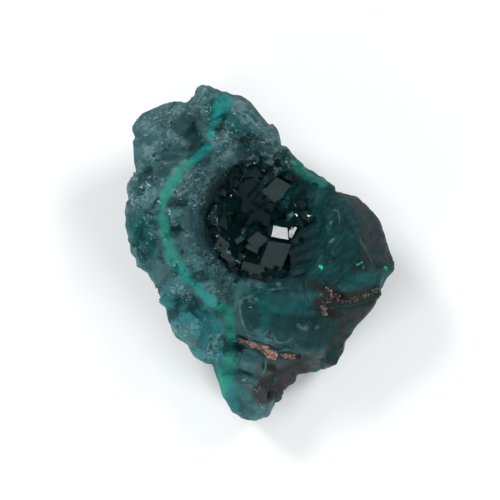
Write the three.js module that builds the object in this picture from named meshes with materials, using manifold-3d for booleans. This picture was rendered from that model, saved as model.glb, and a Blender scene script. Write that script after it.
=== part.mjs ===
// A hand specimen of dioptase, in millimetres, +Z up, with its origin under the middle of its seat.
// Massive, sugary dioptase grew on brown host rock, round a hollow that flat-faced crystals line.
// Everything is modelled in the frame of the open face: X to the right, Y up the face, Z out of it.
// The whole specimen then leans back by LEAN on the flat it rests on.
import * as THREE from "three";
import { mergeVertices } from "three/addons/utils/BufferGeometryUtils.js";
import { ConvexGeometry } from "three/addons/geometries/ConvexGeometry.js";
import Module from "manifold-3d";

const wasm = await Module();
wasm.setup();

// ---------------------------------------------------------------- driving dimensions
const LEAN = THREE.MathUtils.degToRad(12); // between the open face and the flat it rests on
const SEAT_DEPTH = 14; // from the widest level down to the flat, under the middle
const UNDERSIDE = 18.5; // how deep the broken back would reach if it had no flat
const CREST = 9.6; // usual height of the broken top above the widest level
const TOP_SHOULDER = 0.6; // how steeply the top falls to the rim: lower is steeper
const BACK_SHOULDER = 0.95; // the same for the back
const FUNNEL = { at: [-1, 5.5], reach: [15.5, 15.5], depth: 6.5 }; // the slope down to the hollow
const RIM_CROWDING = 0.85; // below 1, the lump's corners crowd towards its rim
const CLEARANCE = 0.3; // between solids that touch
const BED_CLEARANCE = 0.36; // the same, measured upwards over the sloping bed
const HULL_CLEARANCE = 0.45; // the same, measured from a block's middle to its corners
const SURFACE_DETAIL = 9; // subdivisions of the sphere that the lump is shaped from
const ROUGHNESS = [1.2, 1.2, 1.8]; // how far its corners stray from the smooth shape, in all
const LEDGE = { depth: 7, taper: 0.96 }; // the stone under each ledge, and how it narrows
const WELD = 1e-4; // corners this close are one

// Broken flats, each cut off by a block: how many, none under the lowest, the block's size and how
// it is scaled, how deep it cuts, and its slope to the smooth surface.
const CHIPS = { count: 60, lowest: -7, size: [7, 9, 6], scale: [0.6, 1.3], depth: [0.1, 0.6], tilt: 0.3 };

// The rim, seen square on to the open face, clockwise from the top tip.
const RIM = [
  [-10.3, 30], [-7.4, 29.3], [-5.2, 27.8], [-3, 28], [1.8, 23.9], [4.1, 21.3], [5, 19.1],
  [10, 14.9], [12.5, 13], [14.9, 11.4], [18.3, 9.8], [20.9, 7.4], [22.9, 4.2], [24, 0.8],
  [25, -2.6], [24.4, -4.5], [23.1, -6.3], [23, -8.7], [20.6, -12.3], [18.3, -14.9],
  [15.4, -18.9], [14, -21.4], [10.4, -22.1], [7.4, -23.4], [5, -26.2], [1.4, -30],
  [-1.2, -31], [-4.3, -29.8], [-6.3, -26.6], [-7.9, -20.9], [-10.8, -20], [-12.5, -17.7],
  [-14.9, -15.3], [-17.4, -9], [-18.9, -4.8], [-21.2, -3.3], [-22.7, 0.2], [-23.7, 5.9],
  [-23.3, 11.2], [-22.4, 12.9], [-23, 15.9], [-22, 17.6], [-22.9, 19.2], [-22.6, 23],
  [-20.4, 25.2], [-16, 26.9], [-12.2, 27.2],
];

// Broad rises and dips of the top: [x, y, rise, reach].
const SWELLS = [
  [-2, 23, 1.5, 5], // wall above the hollow
  [-14.5, 10, 2, 5], // wall left of the hollow
  [-12, -3, 2, 5],
  [-18.5, 3, -1.5, 5], // broken field outside that wall
  [-12.5, -14, -2, 5],
  [18, 3, 1.5, 6], // right lump
  [6, -12, 1, 6], // lower block
  [15, -13, -3, 4],
  [-2, -25, -2, 5], // bottom tip
  [9, 13.5, -1.5, 3], // saddle of the upper right rim
];

// Ledges, lumps and flats that stand out of the top: the corners of each one's upper face.
const LEDGES = [
  // upper left block
  [[-20.8, 23, 5.2], [-17.3, 24.8, 5.8], [-12.9, 25.6, 6.6], [-11.7, 22.6, 9.8], [-14.6, 18.7, 10.2],
    [-18.7, 17, 8.6], [-20.8, 18.2, 6]],
  // top tip
  [[-10.6, 26.4, 5], [-9.6, 28.6, 4.6], [-6.9, 28, 5.4], [-5.9, 24.6, 9.2], [-9.4, 22.8, 10.4]],
  // wall above the hollow
  [[-4.6, 26.6, 5], [-1.2, 25, 5.4], [0.4, 21.6, 8.4], [-2.4, 20.4, 11.2], [-5.6, 23, 10.2]],
  [[1.4, 22, 5.6], [3.9, 18.6, 6.2], [2.8, 16.6, 9.6], [-0.8, 17.6, 11], [-1, 19.8, 10.4]],
  // upper right rim
  [[5.4, 17.4, 6], [9, 14.4, 6.4], [11.6, 12.4, 7.4], [10.2, 10.6, 9.6], [6.9, 12.9, 9.4], [4.4, 15.4, 8.6]],
  // right lump, its outer and inner sides
  [[13, 10.8, 9], [18, 8.8, 8], [22, 3.8, 6.8], [19, -0.4, 10.6], [15.8, 2.4, 11.2], [13.2, 7.4, 10.2]],
  [[17.8, 2, 11], [22.4, 2.4, 6.8], [23.9, -2.4, 6], [20.8, -4.6, 8.4], [16, -2.8, 10.8]],
  [[11.4, 9.8, 9.4], [14.6, 5.4, 10.8], [15.8, -1.4, 11], [12.8, -2.4, 9.6], [11.6, 4, 8.6]],
  // wall left of the hollow
  [[-16.2, 15.4, 10.6], [-11.8, 14.4, 11.4], [-11.4, 10.6, 11], [-14.4, 9.2, 12.2], [-17, 11.4, 10.6]],
  [[-15.6, 7.2, 11.4], [-12, 8, 10.8], [-11.6, 3.8, 11], [-14.8, 2.6, 11.8]],
  [[-14.9, 0.6, 11], [-10.8, 1.4, 11], [-9.6, -3.2, 11.2], [-12.2, -4.6, 11.8], [-14.4, -2.4, 11.2]],
  [[-11.4, -6, 11.4], [-7.6, -5.2, 10.8], [-6.4, -9.6, 11.4], [-9.8, -10.6, 11.4]],
  // broken field outside it
  [[-22.2, 12, 6.2], [-19.2, 13.2, 8.8], [-17.6, 10, 9.6], [-19, 7.4, 9.2], [-22.2, 8, 6.6]],
  [[-22.6, 3.6, 5.6], [-19.6, 5.6, 8.2], [-17, 3, 9.6], [-18.6, -0.8, 8.4], [-21.6, -0.6, 6]],
  [[-18.4, -5.8, 6.2], [-15.6, -3.8, 8.8], [-12.8, -7, 9.8], [-14.6, -10, 8.8], [-16.9, -9.6, 6.6]],
  [[-15.6, -12.6, 5.6], [-12.4, -10.4, 9], [-9.6, -13.2, 9.4], [-10.8, -16.8, 8], [-13.4, -16.4, 5.8]],
  // lower block, highest along the cleft at its foot
  [[-3.4, -8.8, 10.8], [0.6, -7, 10.2], [3, -10.6, 10.8], [1.4, -15.4, 12.4], [-2.2, -14.4, 12]],
  [[1.6, -7, 10], [7.6, -6.6, 10], [9.4, -10.2, 10.4], [5.8, -12.4, 11.4], [2.6, -10.4, 11]],
  [[2.4, -12, 11.6], [6.8, -12.4, 11.4], [9.6, -14.6, 9.8], [8, -17.8, 9.4], [3.2, -16.2, 12]],
  [[10.4, -11, 9.6], [15.6, -10.2, 7.2], [17, -12.8, 5.6], [13.6, -18.4, 4.6], [10.4, -17.4, 8.2]],
  // ledge under that cleft, then the bottom tip
  [[-3.6, -17.2, 8], [6.8, -20.2, 6.2], [10.4, -21.4, 3.8], [6.6, -22.8, 4.6], [0.4, -22.6, 6.8],
    [-3.6, -20.8, 8.4]],
  [[-6.6, -22.4, 6.4], [-1.2, -22.6, 8.2], [2.2, -25.6, 5.4], [0.4, -28.6, 3.6], [-2.8, -29.4, 3.6],
    [-5.6, -26.2, 4.4]],
];

// Steps where a layer has broken away: the top drops on the right of the line from start to end.
const STEPS = [
  { start: [7.6, -19.4], end: [-4, -15.4], drop: 4.5, soft: 0.7 }, // foot of the lower block
  { start: [-21, 15.5], end: [-12, 17], drop: 2, soft: 0.6 }, // foot of the upper left block
  { start: [-20, -3.6], end: [-14.5, -3.4], drop: 1.8, soft: 0.6 },
  { start: [-14.5, -9.5], end: [-9, -10.5], drop: 1.6, soft: 0.6 },
];

// The hollow: [x, y, z] of each rounded part's centre, and its reach along X, Y and Z.
const HOLLOWS = [
  { at: [0.6, 5.6, 8.6], reach: [11, 11.2, 11.2] },
  { at: [5.4, 1.6, 9.2], reach: [6.9, 6.9, 8.3] },
];
const HOLLOW_DETAIL = 2; // subdivisions of the spheres it is shaped from
const HOLLOW_ROUGHNESS = 0.14;
const HOLLOW_FLARE = 0.6; // how fast it widens above the middle of each part
const SKIN = 0.9; // thickness of the crystal lining under the hollow's crystals
const LINING_TOP = 2.6; // height where the lining stops, though its crystals go on

// The top of the host rock under everything: a rough bed that rises to the right.
const BED = { level: -5.6, rise: 0.12, roughness: 4.4, step: 10, half: 40, depth: 20 };

// Where the rock also shows beside the dioptase: the corners of each blunt block.
const ROCK_BLOCKS = [
  // the outer skin of the right lump
  [[12.6, 11, 30], [30, 16, 30], [32, -2, 30], [22.4, -2.2, 30], [17.4, 3.4, 30],
    [15.4, 6.6, -12], [13, 12, -12], [30, 16, -12], [32, -4, -12], [21, -3, -12]],
  // what shows in the cleft under the right lump
  [[8.6, -5.2, 9.6], [11, -4.4, 9], [15, -6.2, 9.5], [22.5, -7, 9], [24, -9, 4],
    [13, -10.6, 9.4], [9, -10.2, 8.6], [8, -7, -6], [24, -7, -6], [12, -11, -6]],
  // what shows in the cleft at the foot of the lower block
  [[-3.2, -15.6, 5.6], [1, -16.4, 6.6], [4.2, -18.6, 6.2], [7.6, -19.6, 5], [4, -19.2, 5.8],
    [0, -17.6, 6], [-2, -16, -10], [7, -19, -10]],
  // the foot of the lower right flank
  [[4, -21.5, 4.5], [12, -19.5, 3.5], [18, -16, 2], [14, -24, -2], [4, -29, 1],
    [2, -26, 3.2], [2, -26, -12], [18, -16, -12], [12, -28, -12]],
];

// Clefts cut into the face: [x, y] along each, how wide and how deep it is, and its top.
const CLEFTS = [
  { from: [-3.8, -15.4], to: [7.9, -19.8], width: 1.3, floor: 5.6, top: 16 },
  { from: [10.4, -5.4], to: [23.5, -8.6], width: 1.5, floor: 8.2, top: 20 },
  { from: [9.2, -8.6], to: [13.4, -7.6], width: 4, floor: 8.2, top: 20 },
];

// At its ends a cleft is this share of its width and this much shallower, and it flares to its top.
const CLEFT_END = { share: 0.35, rise: 0.4 };
const CLEFT_FLARE = 1.2;

// Coarse grains on the floor of each cleft: how many, how large, and how far they stand out.
const GRAINS = { count: 5, radius: [0.6, 1.2], proud: [0.2, 0.7] };

// Crystals with a face turned to the viewer: centre of that face, crystal radius and length,
// turn of the long axis in the plane of the open face, and the face's slope to the right and up.
const FACE_CRYSTALS = [
  { at: [4.2, 3.1, 3.2], radius: 3, length: 4.4, turn: -8, slope: [-0.09, 0.1] },
  { at: [6.4, 3.3, 2.7], radius: 1.6, length: 2.6, turn: 50, slope: [-0.09, 0.1] },
  { at: [2.8, -0.8, 2.6], radius: 4, length: 7.4, turn: 66, slope: [0.02, -0.02] },
  { at: [-0.4, -4, 2.9], radius: 3.3, length: 5.6, turn: -12, slope: [-0.02, 0.03] },
  { at: [0.1, 1.9, 1.5], radius: 2.6, length: 4.4, turn: 38, slope: [0.03, 0.02] },
  { at: [-6.2, 0.4, 2.4], radius: 2.8, length: 4.6, turn: -40, slope: [-0.04, -0.03] },
  { at: [3.9, 11.6, 2.4], radius: 3.4, length: 5.2, turn: 48, slope: [0.02, 0.05] },
  { at: [-2, -0.4, 1.6], radius: 1.2, length: 3.4, turn: -32, slope: [0.05, 0] },
];

// Long prisms that line the right wall: root, tip, radius.
const WALL_PRISMS = [
  { root: [14, 8.4, 7.4], tip: [7.6, 5, 3.2], radius: 2.3 },
  { root: [11.6, 11.2, 5.6], tip: [6.2, 7.6, 2.8], radius: 2.1 },
  { root: [14.4, 4.2, 7.8], tip: [8.6, 2, 3.4], radius: 2.3 },
  { root: [13.8, 0, 7], tip: [8.8, -1.2, 3.6], radius: 2.1 },
];
const PRISM_SPIN = 0.4; // of each wall prism about its own axis

// The other crystals: how many, the band of the wall they stand on, as heights on the unit sphere,
// how far their feet reach into the lining, their sizes and how far they lean.
const LINING_CRYSTALS = {
  count: 31, band: [-0.95, -0.12], foot: 0.2, radius: [1.5, 2.6], height: [2, 3.8], lean: 0.9,
};
const RHOMB_SLOPE = 1.235; // dioptase ends in three faces that fall this much per unit outwards

// ---------------------------------------------------------------- small helpers
// A repeatable source of numbers from 0 to 1.
function dice(seed) {
  let state = seed;
  return () => {
    state = (state + 0x6d2b79f5) | 0;
    let t = Math.imul(state ^ (state >>> 15), 1 | state);
    t = (t + Math.imul(t ^ (t >>> 7), 61 | t)) ^ t;
    return ((t ^ (t >>> 14)) >>> 0) / 2 ** 32;
  };
}

// A number between two ends.
function pick(random, [low, high]) {
  return THREE.MathUtils.lerp(low, high, random());
}

// A vector inside a box of the given sides.
function scatter(random, [x, y, z]) {
  return new THREE.Vector3((random() - 0.5) * x, (random() - 0.5) * y, (random() - 0.5) * z);
}

// A geometry with only its positions, and its shared corners merged.
function welded(geometry) {
  const bare = new THREE.BufferGeometry();
  bare.setAttribute("position", geometry.getAttribute("position"));
  bare.setIndex(geometry.index);
  return mergeVertices(bare, WELD);
}

function solidOf(geometry) {
  const closed = welded(geometry);
  const mesh = new wasm.Mesh({
    numProp: 3,
    vertProperties: new Float32Array(closed.attributes.position.array),
    triVerts: new Uint32Array(closed.index.array),
  });
  return new wasm.Manifold(mesh);
}

function geometryOf(solid) {
  const mesh = solid.getMesh();
  const geometry = new THREE.BufferGeometry();
  geometry.setAttribute("position", new THREE.BufferAttribute(mesh.vertProperties, 3));
  geometry.setIndex(new THREE.BufferAttribute(mesh.triVerts, 1));
  const flat = geometry.toNonIndexed();
  flat.computeVertexNormals();
  return flat;
}

// The largest separate piece of a solid, without the chips that a cut leaves.
function largestPiece(solid) {
  const pieces = solid.decompose();
  return pieces.reduce((best, piece) => (piece.volume() > best.volume() ? piece : best));
}

function hull(corners) {
  return solidOf(new ConvexGeometry(corners.map((corner) => new THREE.Vector3(...corner))));
}

function middleOf(corners) {
  const sum = corners.reduce((total, corner) => total.add(new THREE.Vector3(...corner)), new THREE.Vector3());
  return sum.divideScalar(corners.length);
}

// The same hull with each corner pushed out from the middle, as clearance for what it meets.
function grownHull(corners, by) {
  const middle = middleOf(corners);
  const pushed = corners.map((corner) => {
    const point = new THREE.Vector3(...corner);
    return point.addScaledVector(point.clone().sub(middle).normalize(), by);
  });
  return solidOf(new ConvexGeometry(pushed));
}

function united(solids) {
  return solids.reduce((sum, solid) => sum.add(solid));
}

// ---------------------------------------------------------------- the lump
// Distance from the middle to the rim in each direction, read off a smooth curve through RIM.
function rimReach() {
  const corners = RIM.map(([x, y]) => new THREE.Vector3(x, y, 0));
  const curve = new THREE.CatmullRomCurve3(corners, true, "centripetal");
  const samples = curve.getPoints(RIM.length * 8).map((p) => [Math.atan2(p.y, p.x), Math.hypot(p.x, p.y)]);
  samples.sort((a, b) => a[0] - b[0]);
  return (angle) => {
    const after = samples.findIndex(([a]) => a > angle);
    const [a1, r1] = samples.at(after < 0 ? 0 : after);
    const [a0, r0] = samples.at(after <= 0 ? -1 : after - 1);
    const gap = THREE.MathUtils.euclideanModulo(a1 - a0, 2 * Math.PI) || 1;
    const share = THREE.MathUtils.euclideanModulo(angle - a0, 2 * Math.PI) / gap;
    return THREE.MathUtils.lerp(r0, r1, share);
  };
}

// Height of the broken top above the widest level, before its edge falls away.
function crestHeight(x, y) {
  let height = CREST;
  for (const [cx, cy, rise, reach] of SWELLS) {
    height += rise * Math.exp(-((x - cx) ** 2 + (y - cy) ** 2) / (reach * reach));
  }
  for (const { start, end, drop, soft } of STEPS) {
    const [dx, dy] = [end[0] - start[0], end[1] - start[1]];
    const length = Math.hypot(dx, dy);
    const along = ((x - start[0]) * dx + (y - start[1]) * dy) / length;
    const left = ((x - start[0]) * -dy + (y - start[1]) * dx) / length;
    const beyondEnds = Math.max(0, -along, along - length);
    const reach = Math.exp(-((beyondEnds / 4) ** 2)) * Math.exp(-((Math.max(0, left) / 9) ** 2));
    height -= drop * reach * THREE.MathUtils.smoothstep(left, -soft, soft);
  }
  const [u, v] = [(x - FUNNEL.at[0]) / FUNNEL.reach[0], (y - FUNNEL.at[1]) / FUNNEL.reach[1]];
  return height - FUNNEL.depth * Math.max(0, 1 - u * u - v * v);
}

// A point of the unit sphere, carried to the smooth surface of the lump.
function lumpPoint(unit, reachAt) {
  const angle = Math.atan2(unit.y, unit.x);
  const across = Math.min(1, Math.hypot(unit.x, unit.y)) ** RIM_CROWDING;
  const radius = reachAt(angle) * across;
  const x = radius * Math.cos(angle);
  const y = radius * Math.sin(angle);
  if (unit.z > 0) return new THREE.Vector3(x, y, crestHeight(x, y) * unit.z ** TOP_SHOULDER);
  return new THREE.Vector3(x, y, -UNDERSIDE * (-unit.z) ** BACK_SHOULDER);
}

// A ledge with the given upper face, widening down into the lump.
function ledgeSolid(corners) {
  const middle = middleOf(corners);
  const feet = corners.map(([x, y, z]) => [
    THREE.MathUtils.lerp(middle.x, x, LEDGE.taper),
    THREE.MathUtils.lerp(middle.y, y, LEDGE.taper),
    z - LEDGE.depth,
  ]);
  return hull([...corners, ...feet]);
}

// A block that breaks a flat off the lump at one of its points.
function chipSolid(point, normal, random) {
  const [width, length, height] = CHIPS.size;
  const scale = pick(random, CHIPS.scale);
  const block = new THREE.BoxGeometry(width * scale, length * scale, height);
  block.translate(0, 0, height / 2).rotateZ(random() * Math.PI);
  const lean = scatter(random, [1, 1, 1]).multiplyScalar(2 * CHIPS.tilt);
  const facing = normal.clone().add(lean).normalize();
  block.applyQuaternion(new THREE.Quaternion().setFromUnitVectors(new THREE.Vector3(0, 0, 1), facing));
  block.translate(...point.clone().addScaledVector(normal, -pick(random, CHIPS.depth)));
  return solidOf(block);
}

// The lump's broken surface, as corners on a sphere carried to the smooth shape and then shaken.
function roughSurface(random) {
  const reachAt = rimReach();
  const surface = welded(new THREE.IcosahedronGeometry(1, SURFACE_DETAIL));
  const points = surface.attributes.position;
  for (let i = 0; i < points.count; i++) {
    const point = lumpPoint(new THREE.Vector3().fromBufferAttribute(points, i), reachAt);
    points.setXYZ(i, ...point.add(scatter(random, ROUGHNESS)));
  }
  surface.computeVertexNormals();
  return surface;
}

// The whole lump, with its ledges and broken flats and no hollow yet.
function lumpSolid() {
  const random = dice(11);
  const surface = roughSurface(random);
  const { position, normal } = surface.attributes;
  const chips = [];
  while (chips.length < CHIPS.count) {
    const corner = Math.floor(random() * position.count);
    const point = new THREE.Vector3().fromBufferAttribute(position, corner);
    if (point.z < CHIPS.lowest) continue;
    chips.push(chipSolid(point, new THREE.Vector3().fromBufferAttribute(normal, corner), random));
  }
  const whole = united([solidOf(surface), ...LEDGES.map(ledgeSolid)]);
  return whole.subtract(united(chips)).subtract(belowSeat());
}

// Everything under the flat, in the frame of the open face.
function belowSeat() {
  const block = new THREE.BoxGeometry(200, 200, 100);
  block.translate(0, 0, -50);
  block.rotateX(-LEAN);
  block.translate(0, 0, -SEAT_DEPTH);
  return solidOf(block);
}

// ---------------------------------------------------------------- the hollow and its crystals
// The hollow's shape, faceted, grown by a margin, or shrunk by a negative one.
function hollowSolid(margin) {
  const random = dice(5);
  return united(
    HOLLOWS.map(({ at, reach }) => {
      const blob = welded(new THREE.IcosahedronGeometry(1, HOLLOW_DETAIL));
      const points = blob.attributes.position;
      for (let i = 0; i < points.count; i++) {
        const rough = 1 + HOLLOW_ROUGHNESS * (random() - 0.5);
        const flare = 1 + HOLLOW_FLARE * Math.max(0, points.getZ(i));
        const unit = [points.getX(i) * flare, points.getY(i) * flare, points.getZ(i)];
        points.setXYZ(i, ...unit.map((u, k) => at[k] + u * (reach[k] * rough + margin)));
      }
      return solidOf(blob);
    }),
  );
}

// A crystal along +Z from z = 0: a six-sided prism that ends in three faces, one over each second edge.
function crystalGeometry(radius, length) {
  const corners = [];
  for (let k = 0; k < 6; k++) {
    const angle = (k * Math.PI) / 3;
    const [x, y] = [radius * Math.cos(angle), radius * Math.sin(angle)];
    const fall = RHOMB_SLOPE * radius * (k % 2 ? 0.5 : 1);
    corners.push(new THREE.Vector3(x, y, 0), new THREE.Vector3(x, y, length - fall));
  }
  corners.push(new THREE.Vector3(0, 0, length));
  return new ConvexGeometry(corners);
}

// A crystal that lies with a prism face square on to the viewer but for a small slope.
function faceCrystal({ at, radius, length, turn, slope }) {
  const crystal = crystalGeometry(radius / Math.cos(Math.PI / 6) / 1.2, length);
  const flat = radius / 1.2; // from the axis to a prism face
  crystal.translate(0, 0, -length / 2);
  crystal.rotateZ(Math.PI / 6);
  crystal.rotateY(Math.PI / 2);
  crystal.translate(0, 0, -flat);
  crystal.rotateZ(THREE.MathUtils.degToRad(turn));
  crystal.rotateY(slope[0]);
  crystal.rotateX(slope[1]);
  crystal.translate(...at);
  return solidOf(crystal);
}

// A crystal from root to tip.
function standingCrystal(root, tip, radius, spin) {
  const [start, end] = [new THREE.Vector3(...root), new THREE.Vector3(...tip)];
  const direction = end.clone().sub(start);
  const crystal = crystalGeometry(radius, direction.length());
  crystal.rotateZ(spin);
  crystal.applyQuaternion(
    new THREE.Quaternion().setFromUnitVectors(new THREE.Vector3(0, 0, 1), direction.normalize()),
  );
  crystal.translate(...root);
  return solidOf(crystal);
}

// Crystals that stand close together on the wall of the hollow, spread evenly over its lower part.
function liningCrystals() {
  const random = dice(23);
  const golden = Math.PI * (3 - Math.sqrt(5));
  const { count, band, foot, radius, height, lean } = LINING_CRYSTALS;
  const crystals = [];
  for (let i = 0; i < count; i++) {
    const { at, reach } = HOLLOWS[i % 3 === 2 ? 1 : 0];
    const down = THREE.MathUtils.lerp(...band, (i + 0.5) / count);
    const angle = i * golden + random() * 0.7;
    const side = Math.sqrt(1 - down * down);
    const wall = [side * Math.cos(angle), side * Math.sin(angle), down];
    const root = wall.map((w, k) => at[k] + w * (reach[k] - foot));
    const size = pick(random, radius);
    const tall = pick(random, height);
    const tip = root.map((r, k) => r - (wall[k] + (random() - 0.5) * lean) * tall);
    crystals.push(standingCrystal(root, tip, size, random() * Math.PI));
  }
  return crystals;
}

// The lining of the hollow with all its crystals, as one crust.
function crustSolid(lump) {
  const inside = hollowSolid(-CLEARANCE);
  const below = new THREE.BoxGeometry(80, 80, 40);
  below.translate(0, 0, LINING_TOP - 20);
  const lining = inside.subtract(hollowSolid(-CLEARANCE - SKIN)).intersect(solidOf(below));
  const crystals = united([
    ...FACE_CRYSTALS.map(faceCrystal),
    ...WALL_PRISMS.map(({ root, tip, radius }) => standingCrystal(root, tip, radius, PRISM_SPIN)),
    ...liningCrystals(),
  ]);
  return largestPiece(lining.add(crystals).intersect(inside).intersect(lump));
}

// ---------------------------------------------------------------- clefts and host rock
function cleftSolid({ from, to, width, floor, top }) {
  const [dx, dy] = [to[0] - from[0], to[1] - from[1]];
  const length = Math.hypot(dx, dy);
  const [nx, ny] = [(-dy / length) * (width / 2), (dx / length) * (width / 2)];
  const middle = [(from[0] + to[0]) / 2, (from[1] + to[1]) / 2];
  const corners = [];
  for (const side of [-1, 1]) {
    corners.push([middle[0] + side * nx, middle[1] + side * ny, floor]);
    corners.push([middle[0] + CLEFT_FLARE * side * nx, middle[1] + CLEFT_FLARE * side * ny, top]);
    for (const end of [from, to]) {
      const [x, y] = [end[0] + side * CLEFT_END.share * nx, end[1] + side * CLEFT_END.share * ny];
      corners.push([x, y, floor + CLEFT_END.rise], [x, y, top]);
    }
  }
  return hull(corners);
}

// Coarse grains of rock along the floor of a cleft, clear of its walls.
function grainSolid(cleft, random) {
  const { from, to, width, floor } = cleft;
  const grains = [];
  for (let i = 0; i < GRAINS.count; i++) {
    const along = (i + pick(random, [0.3, 0.7])) / GRAINS.count;
    const aside = (random() - 0.5) * 0.5 * width;
    const grain = new THREE.OctahedronGeometry(pick(random, GRAINS.radius));
    grain.rotateX(random() * Math.PI).rotateZ(random() * Math.PI);
    const x = THREE.MathUtils.lerp(from[0], to[0], along) + aside;
    const y = THREE.MathUtils.lerp(from[1], to[1], along) + aside;
    grain.translate(x, y, floor + pick(random, GRAINS.proud));
    grains.push(solidOf(grain));
  }
  const room = cleftSolid({ ...cleft, width: width - 2 * CLEARANCE, floor: floor - 1 });
  return united(grains).intersect(room);
}

// The host rock's bed, with its top raised by a margin.
function bedSolid(margin) {
  const random = dice(3);
  const { level, rise, roughness, step, half, depth } = BED;
  const cells = (2 * half) / step;
  const bed = welded(new THREE.BoxGeometry(2 * half, 2 * half, 2 * depth, cells, cells, 1));
  const points = bed.attributes.position;
  for (let i = 0; i < points.count; i++) {
    const top = level + rise * points.getX(i) + roughness * (random() - 0.5);
    if (points.getZ(i) > 0) points.setZ(i, top + margin);
  }
  return solidOf(bed);
}

// ---------------------------------------------------------------- the specimen
const STONE = { dioptase: 0x2f6f70, crystal: 0x0d4a45, rock: 0x4b423e };

function named(name, solid, colour, roughness) {
  const finish = new THREE.MeshStandardMaterial({ color: colour, roughness, metalness: 0 });
  const mesh = new THREE.Mesh(geometryOf(solid), finish);
  mesh.name = name;
  return mesh;
}

function buildSpecimen() {
  const lump = lumpSolid();
  const open = lump.subtract(hollowSolid(0)).subtract(united(CLEFTS.map(cleftSolid)));
  const rockBlocks = united([bedSolid(0), ...ROCK_BLOCKS.map(hull)]);
  const rockSpace = united([
    bedSolid(BED_CLEARANCE),
    ...ROCK_BLOCKS.map((corners) => grownHull(corners, HULL_CLEARANCE)),
  ]);
  const random = dice(31);
  const grains = united(CLEFTS.map((cleft) => grainSolid(cleft, random)));
  const rock = open.intersect(rockBlocks).add(grains);
  const specimen = new THREE.Group();
  specimen.add(
    named("dioptase_mass", largestPiece(open.subtract(rockSpace)), STONE.dioptase, 0.5),
    named("vug_crystals", crustSolid(lump), STONE.crystal, 0.08),
    named("host_rock", largestPiece(rock), STONE.rock, 0.85),
  );
  specimen.rotation.x = LEAN;
  const box = new THREE.Box3().setFromObject(specimen, true);
  specimen.position.set(-(box.min.x + box.max.x) / 2, -(box.min.y + box.max.y) / 2, -box.min.z);
  return specimen;
}

export default buildSpecimen();
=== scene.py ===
"""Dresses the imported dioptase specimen: broken dioptase, its crystal-lined hollow and the rock behind."""

from __future__ import annotations

import logging
import math
from dataclasses import dataclass, field
from enum import Enum
from typing import Any, Sequence

import bmesh
import bpy
import numpy as np
from mathutils import Matrix, Vector
from mathutils.bvhtree import BVHTree
from mathutils.kdtree import KDTree


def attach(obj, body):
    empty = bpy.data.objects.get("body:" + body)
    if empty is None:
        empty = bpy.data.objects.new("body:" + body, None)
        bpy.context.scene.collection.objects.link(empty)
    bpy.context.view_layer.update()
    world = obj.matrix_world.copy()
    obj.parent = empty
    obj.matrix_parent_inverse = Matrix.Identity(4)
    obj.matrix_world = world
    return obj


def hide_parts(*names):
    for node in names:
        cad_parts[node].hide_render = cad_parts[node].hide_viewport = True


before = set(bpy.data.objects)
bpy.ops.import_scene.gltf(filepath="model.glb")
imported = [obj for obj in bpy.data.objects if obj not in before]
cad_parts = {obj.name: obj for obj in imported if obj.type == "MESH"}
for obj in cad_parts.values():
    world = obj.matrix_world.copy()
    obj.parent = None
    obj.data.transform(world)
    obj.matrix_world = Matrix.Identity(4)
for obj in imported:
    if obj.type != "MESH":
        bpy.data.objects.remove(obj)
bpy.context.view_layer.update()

log = logging.getLogger("specimen")
MM = 0.001

# Dioptase: its refractive index, the slope of its end faces, and the colour of its reflections.
DIOPTASE_IOR = 1.66
RHOMB_SLOPE = 1.235
GLOSS = (0.66, 0.95, 1.0, 1.0)

# The slope of a crystal's end that is hardly pointed.
BLUNT_SLOPE = 0.5

# A height over the open face, in millimetres, that clears the whole specimen.
OVERHEAD = 40.0


class Slot(Enum):
    """The material slots of the record."""

    MASSIVE = "massive_dioptase"
    CLEAR = "clear_dioptase"
    ROCK = "host_rock"


class Node(Enum):
    """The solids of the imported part."""

    MASS = "dioptase_mass"
    LINING = "vug_crystals"
    ROCK = "host_rock"

    @property
    def mesh(self) -> bpy.types.Mesh:
        """The solid's mesh, in metres."""
        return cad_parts[self.value].data


# ---------------------------------------------------------------- the open face


@dataclass(frozen=True)
class OpenFace:
    """The axes of the open face in millimetres: x to the right, y up the face, z out of it.

    Args:
        lean: how far the face leans back from level, in radians.
        shift: where its middle is in the world.
    """

    lean: float = math.radians(12)
    shift: tuple[float, float, float] = (-0.648, 0.421, 13.694)

    @property
    def turn(self) -> np.ndarray:
        """The rotation from the face to the world."""
        cosine, sine = math.cos(self.lean), math.sin(self.lean)
        return np.array([[1, 0, 0], [0, cosine, -sine], [0, sine, cosine]])

    def to_world(self, points: np.ndarray) -> np.ndarray:
        """Points of the face in world millimetres."""
        return np.asarray(points, float) @ self.turn.T + np.array(self.shift)

    def to_face(self, points: np.ndarray) -> np.ndarray:
        """World points, in millimetres, on the axes of the face."""
        return (np.asarray(points, float) - np.array(self.shift)) @ self.turn

    def aim(self, direction: Sequence[float]) -> Vector:
        """A direction of the face as a unit vector in the world."""
        return Vector(self.turn @ np.asarray(direction, float)).normalized()

    @property
    def out(self) -> Vector:
        """The direction straight out of the face, in the world."""
        return self.aim((0, 0, 1))


FACE = OpenFace()


def smooth_step(value: np.ndarray) -> np.ndarray:
    """Eases a value from 0 to 1, and holds it outside."""
    value = np.clip(value, 0, 1)
    return value * value * (3 - 2 * value)


def unit(vector: np.ndarray) -> np.ndarray:
    """The direction of one vector, at length 1."""
    return vector / np.linalg.norm(vector)


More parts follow.
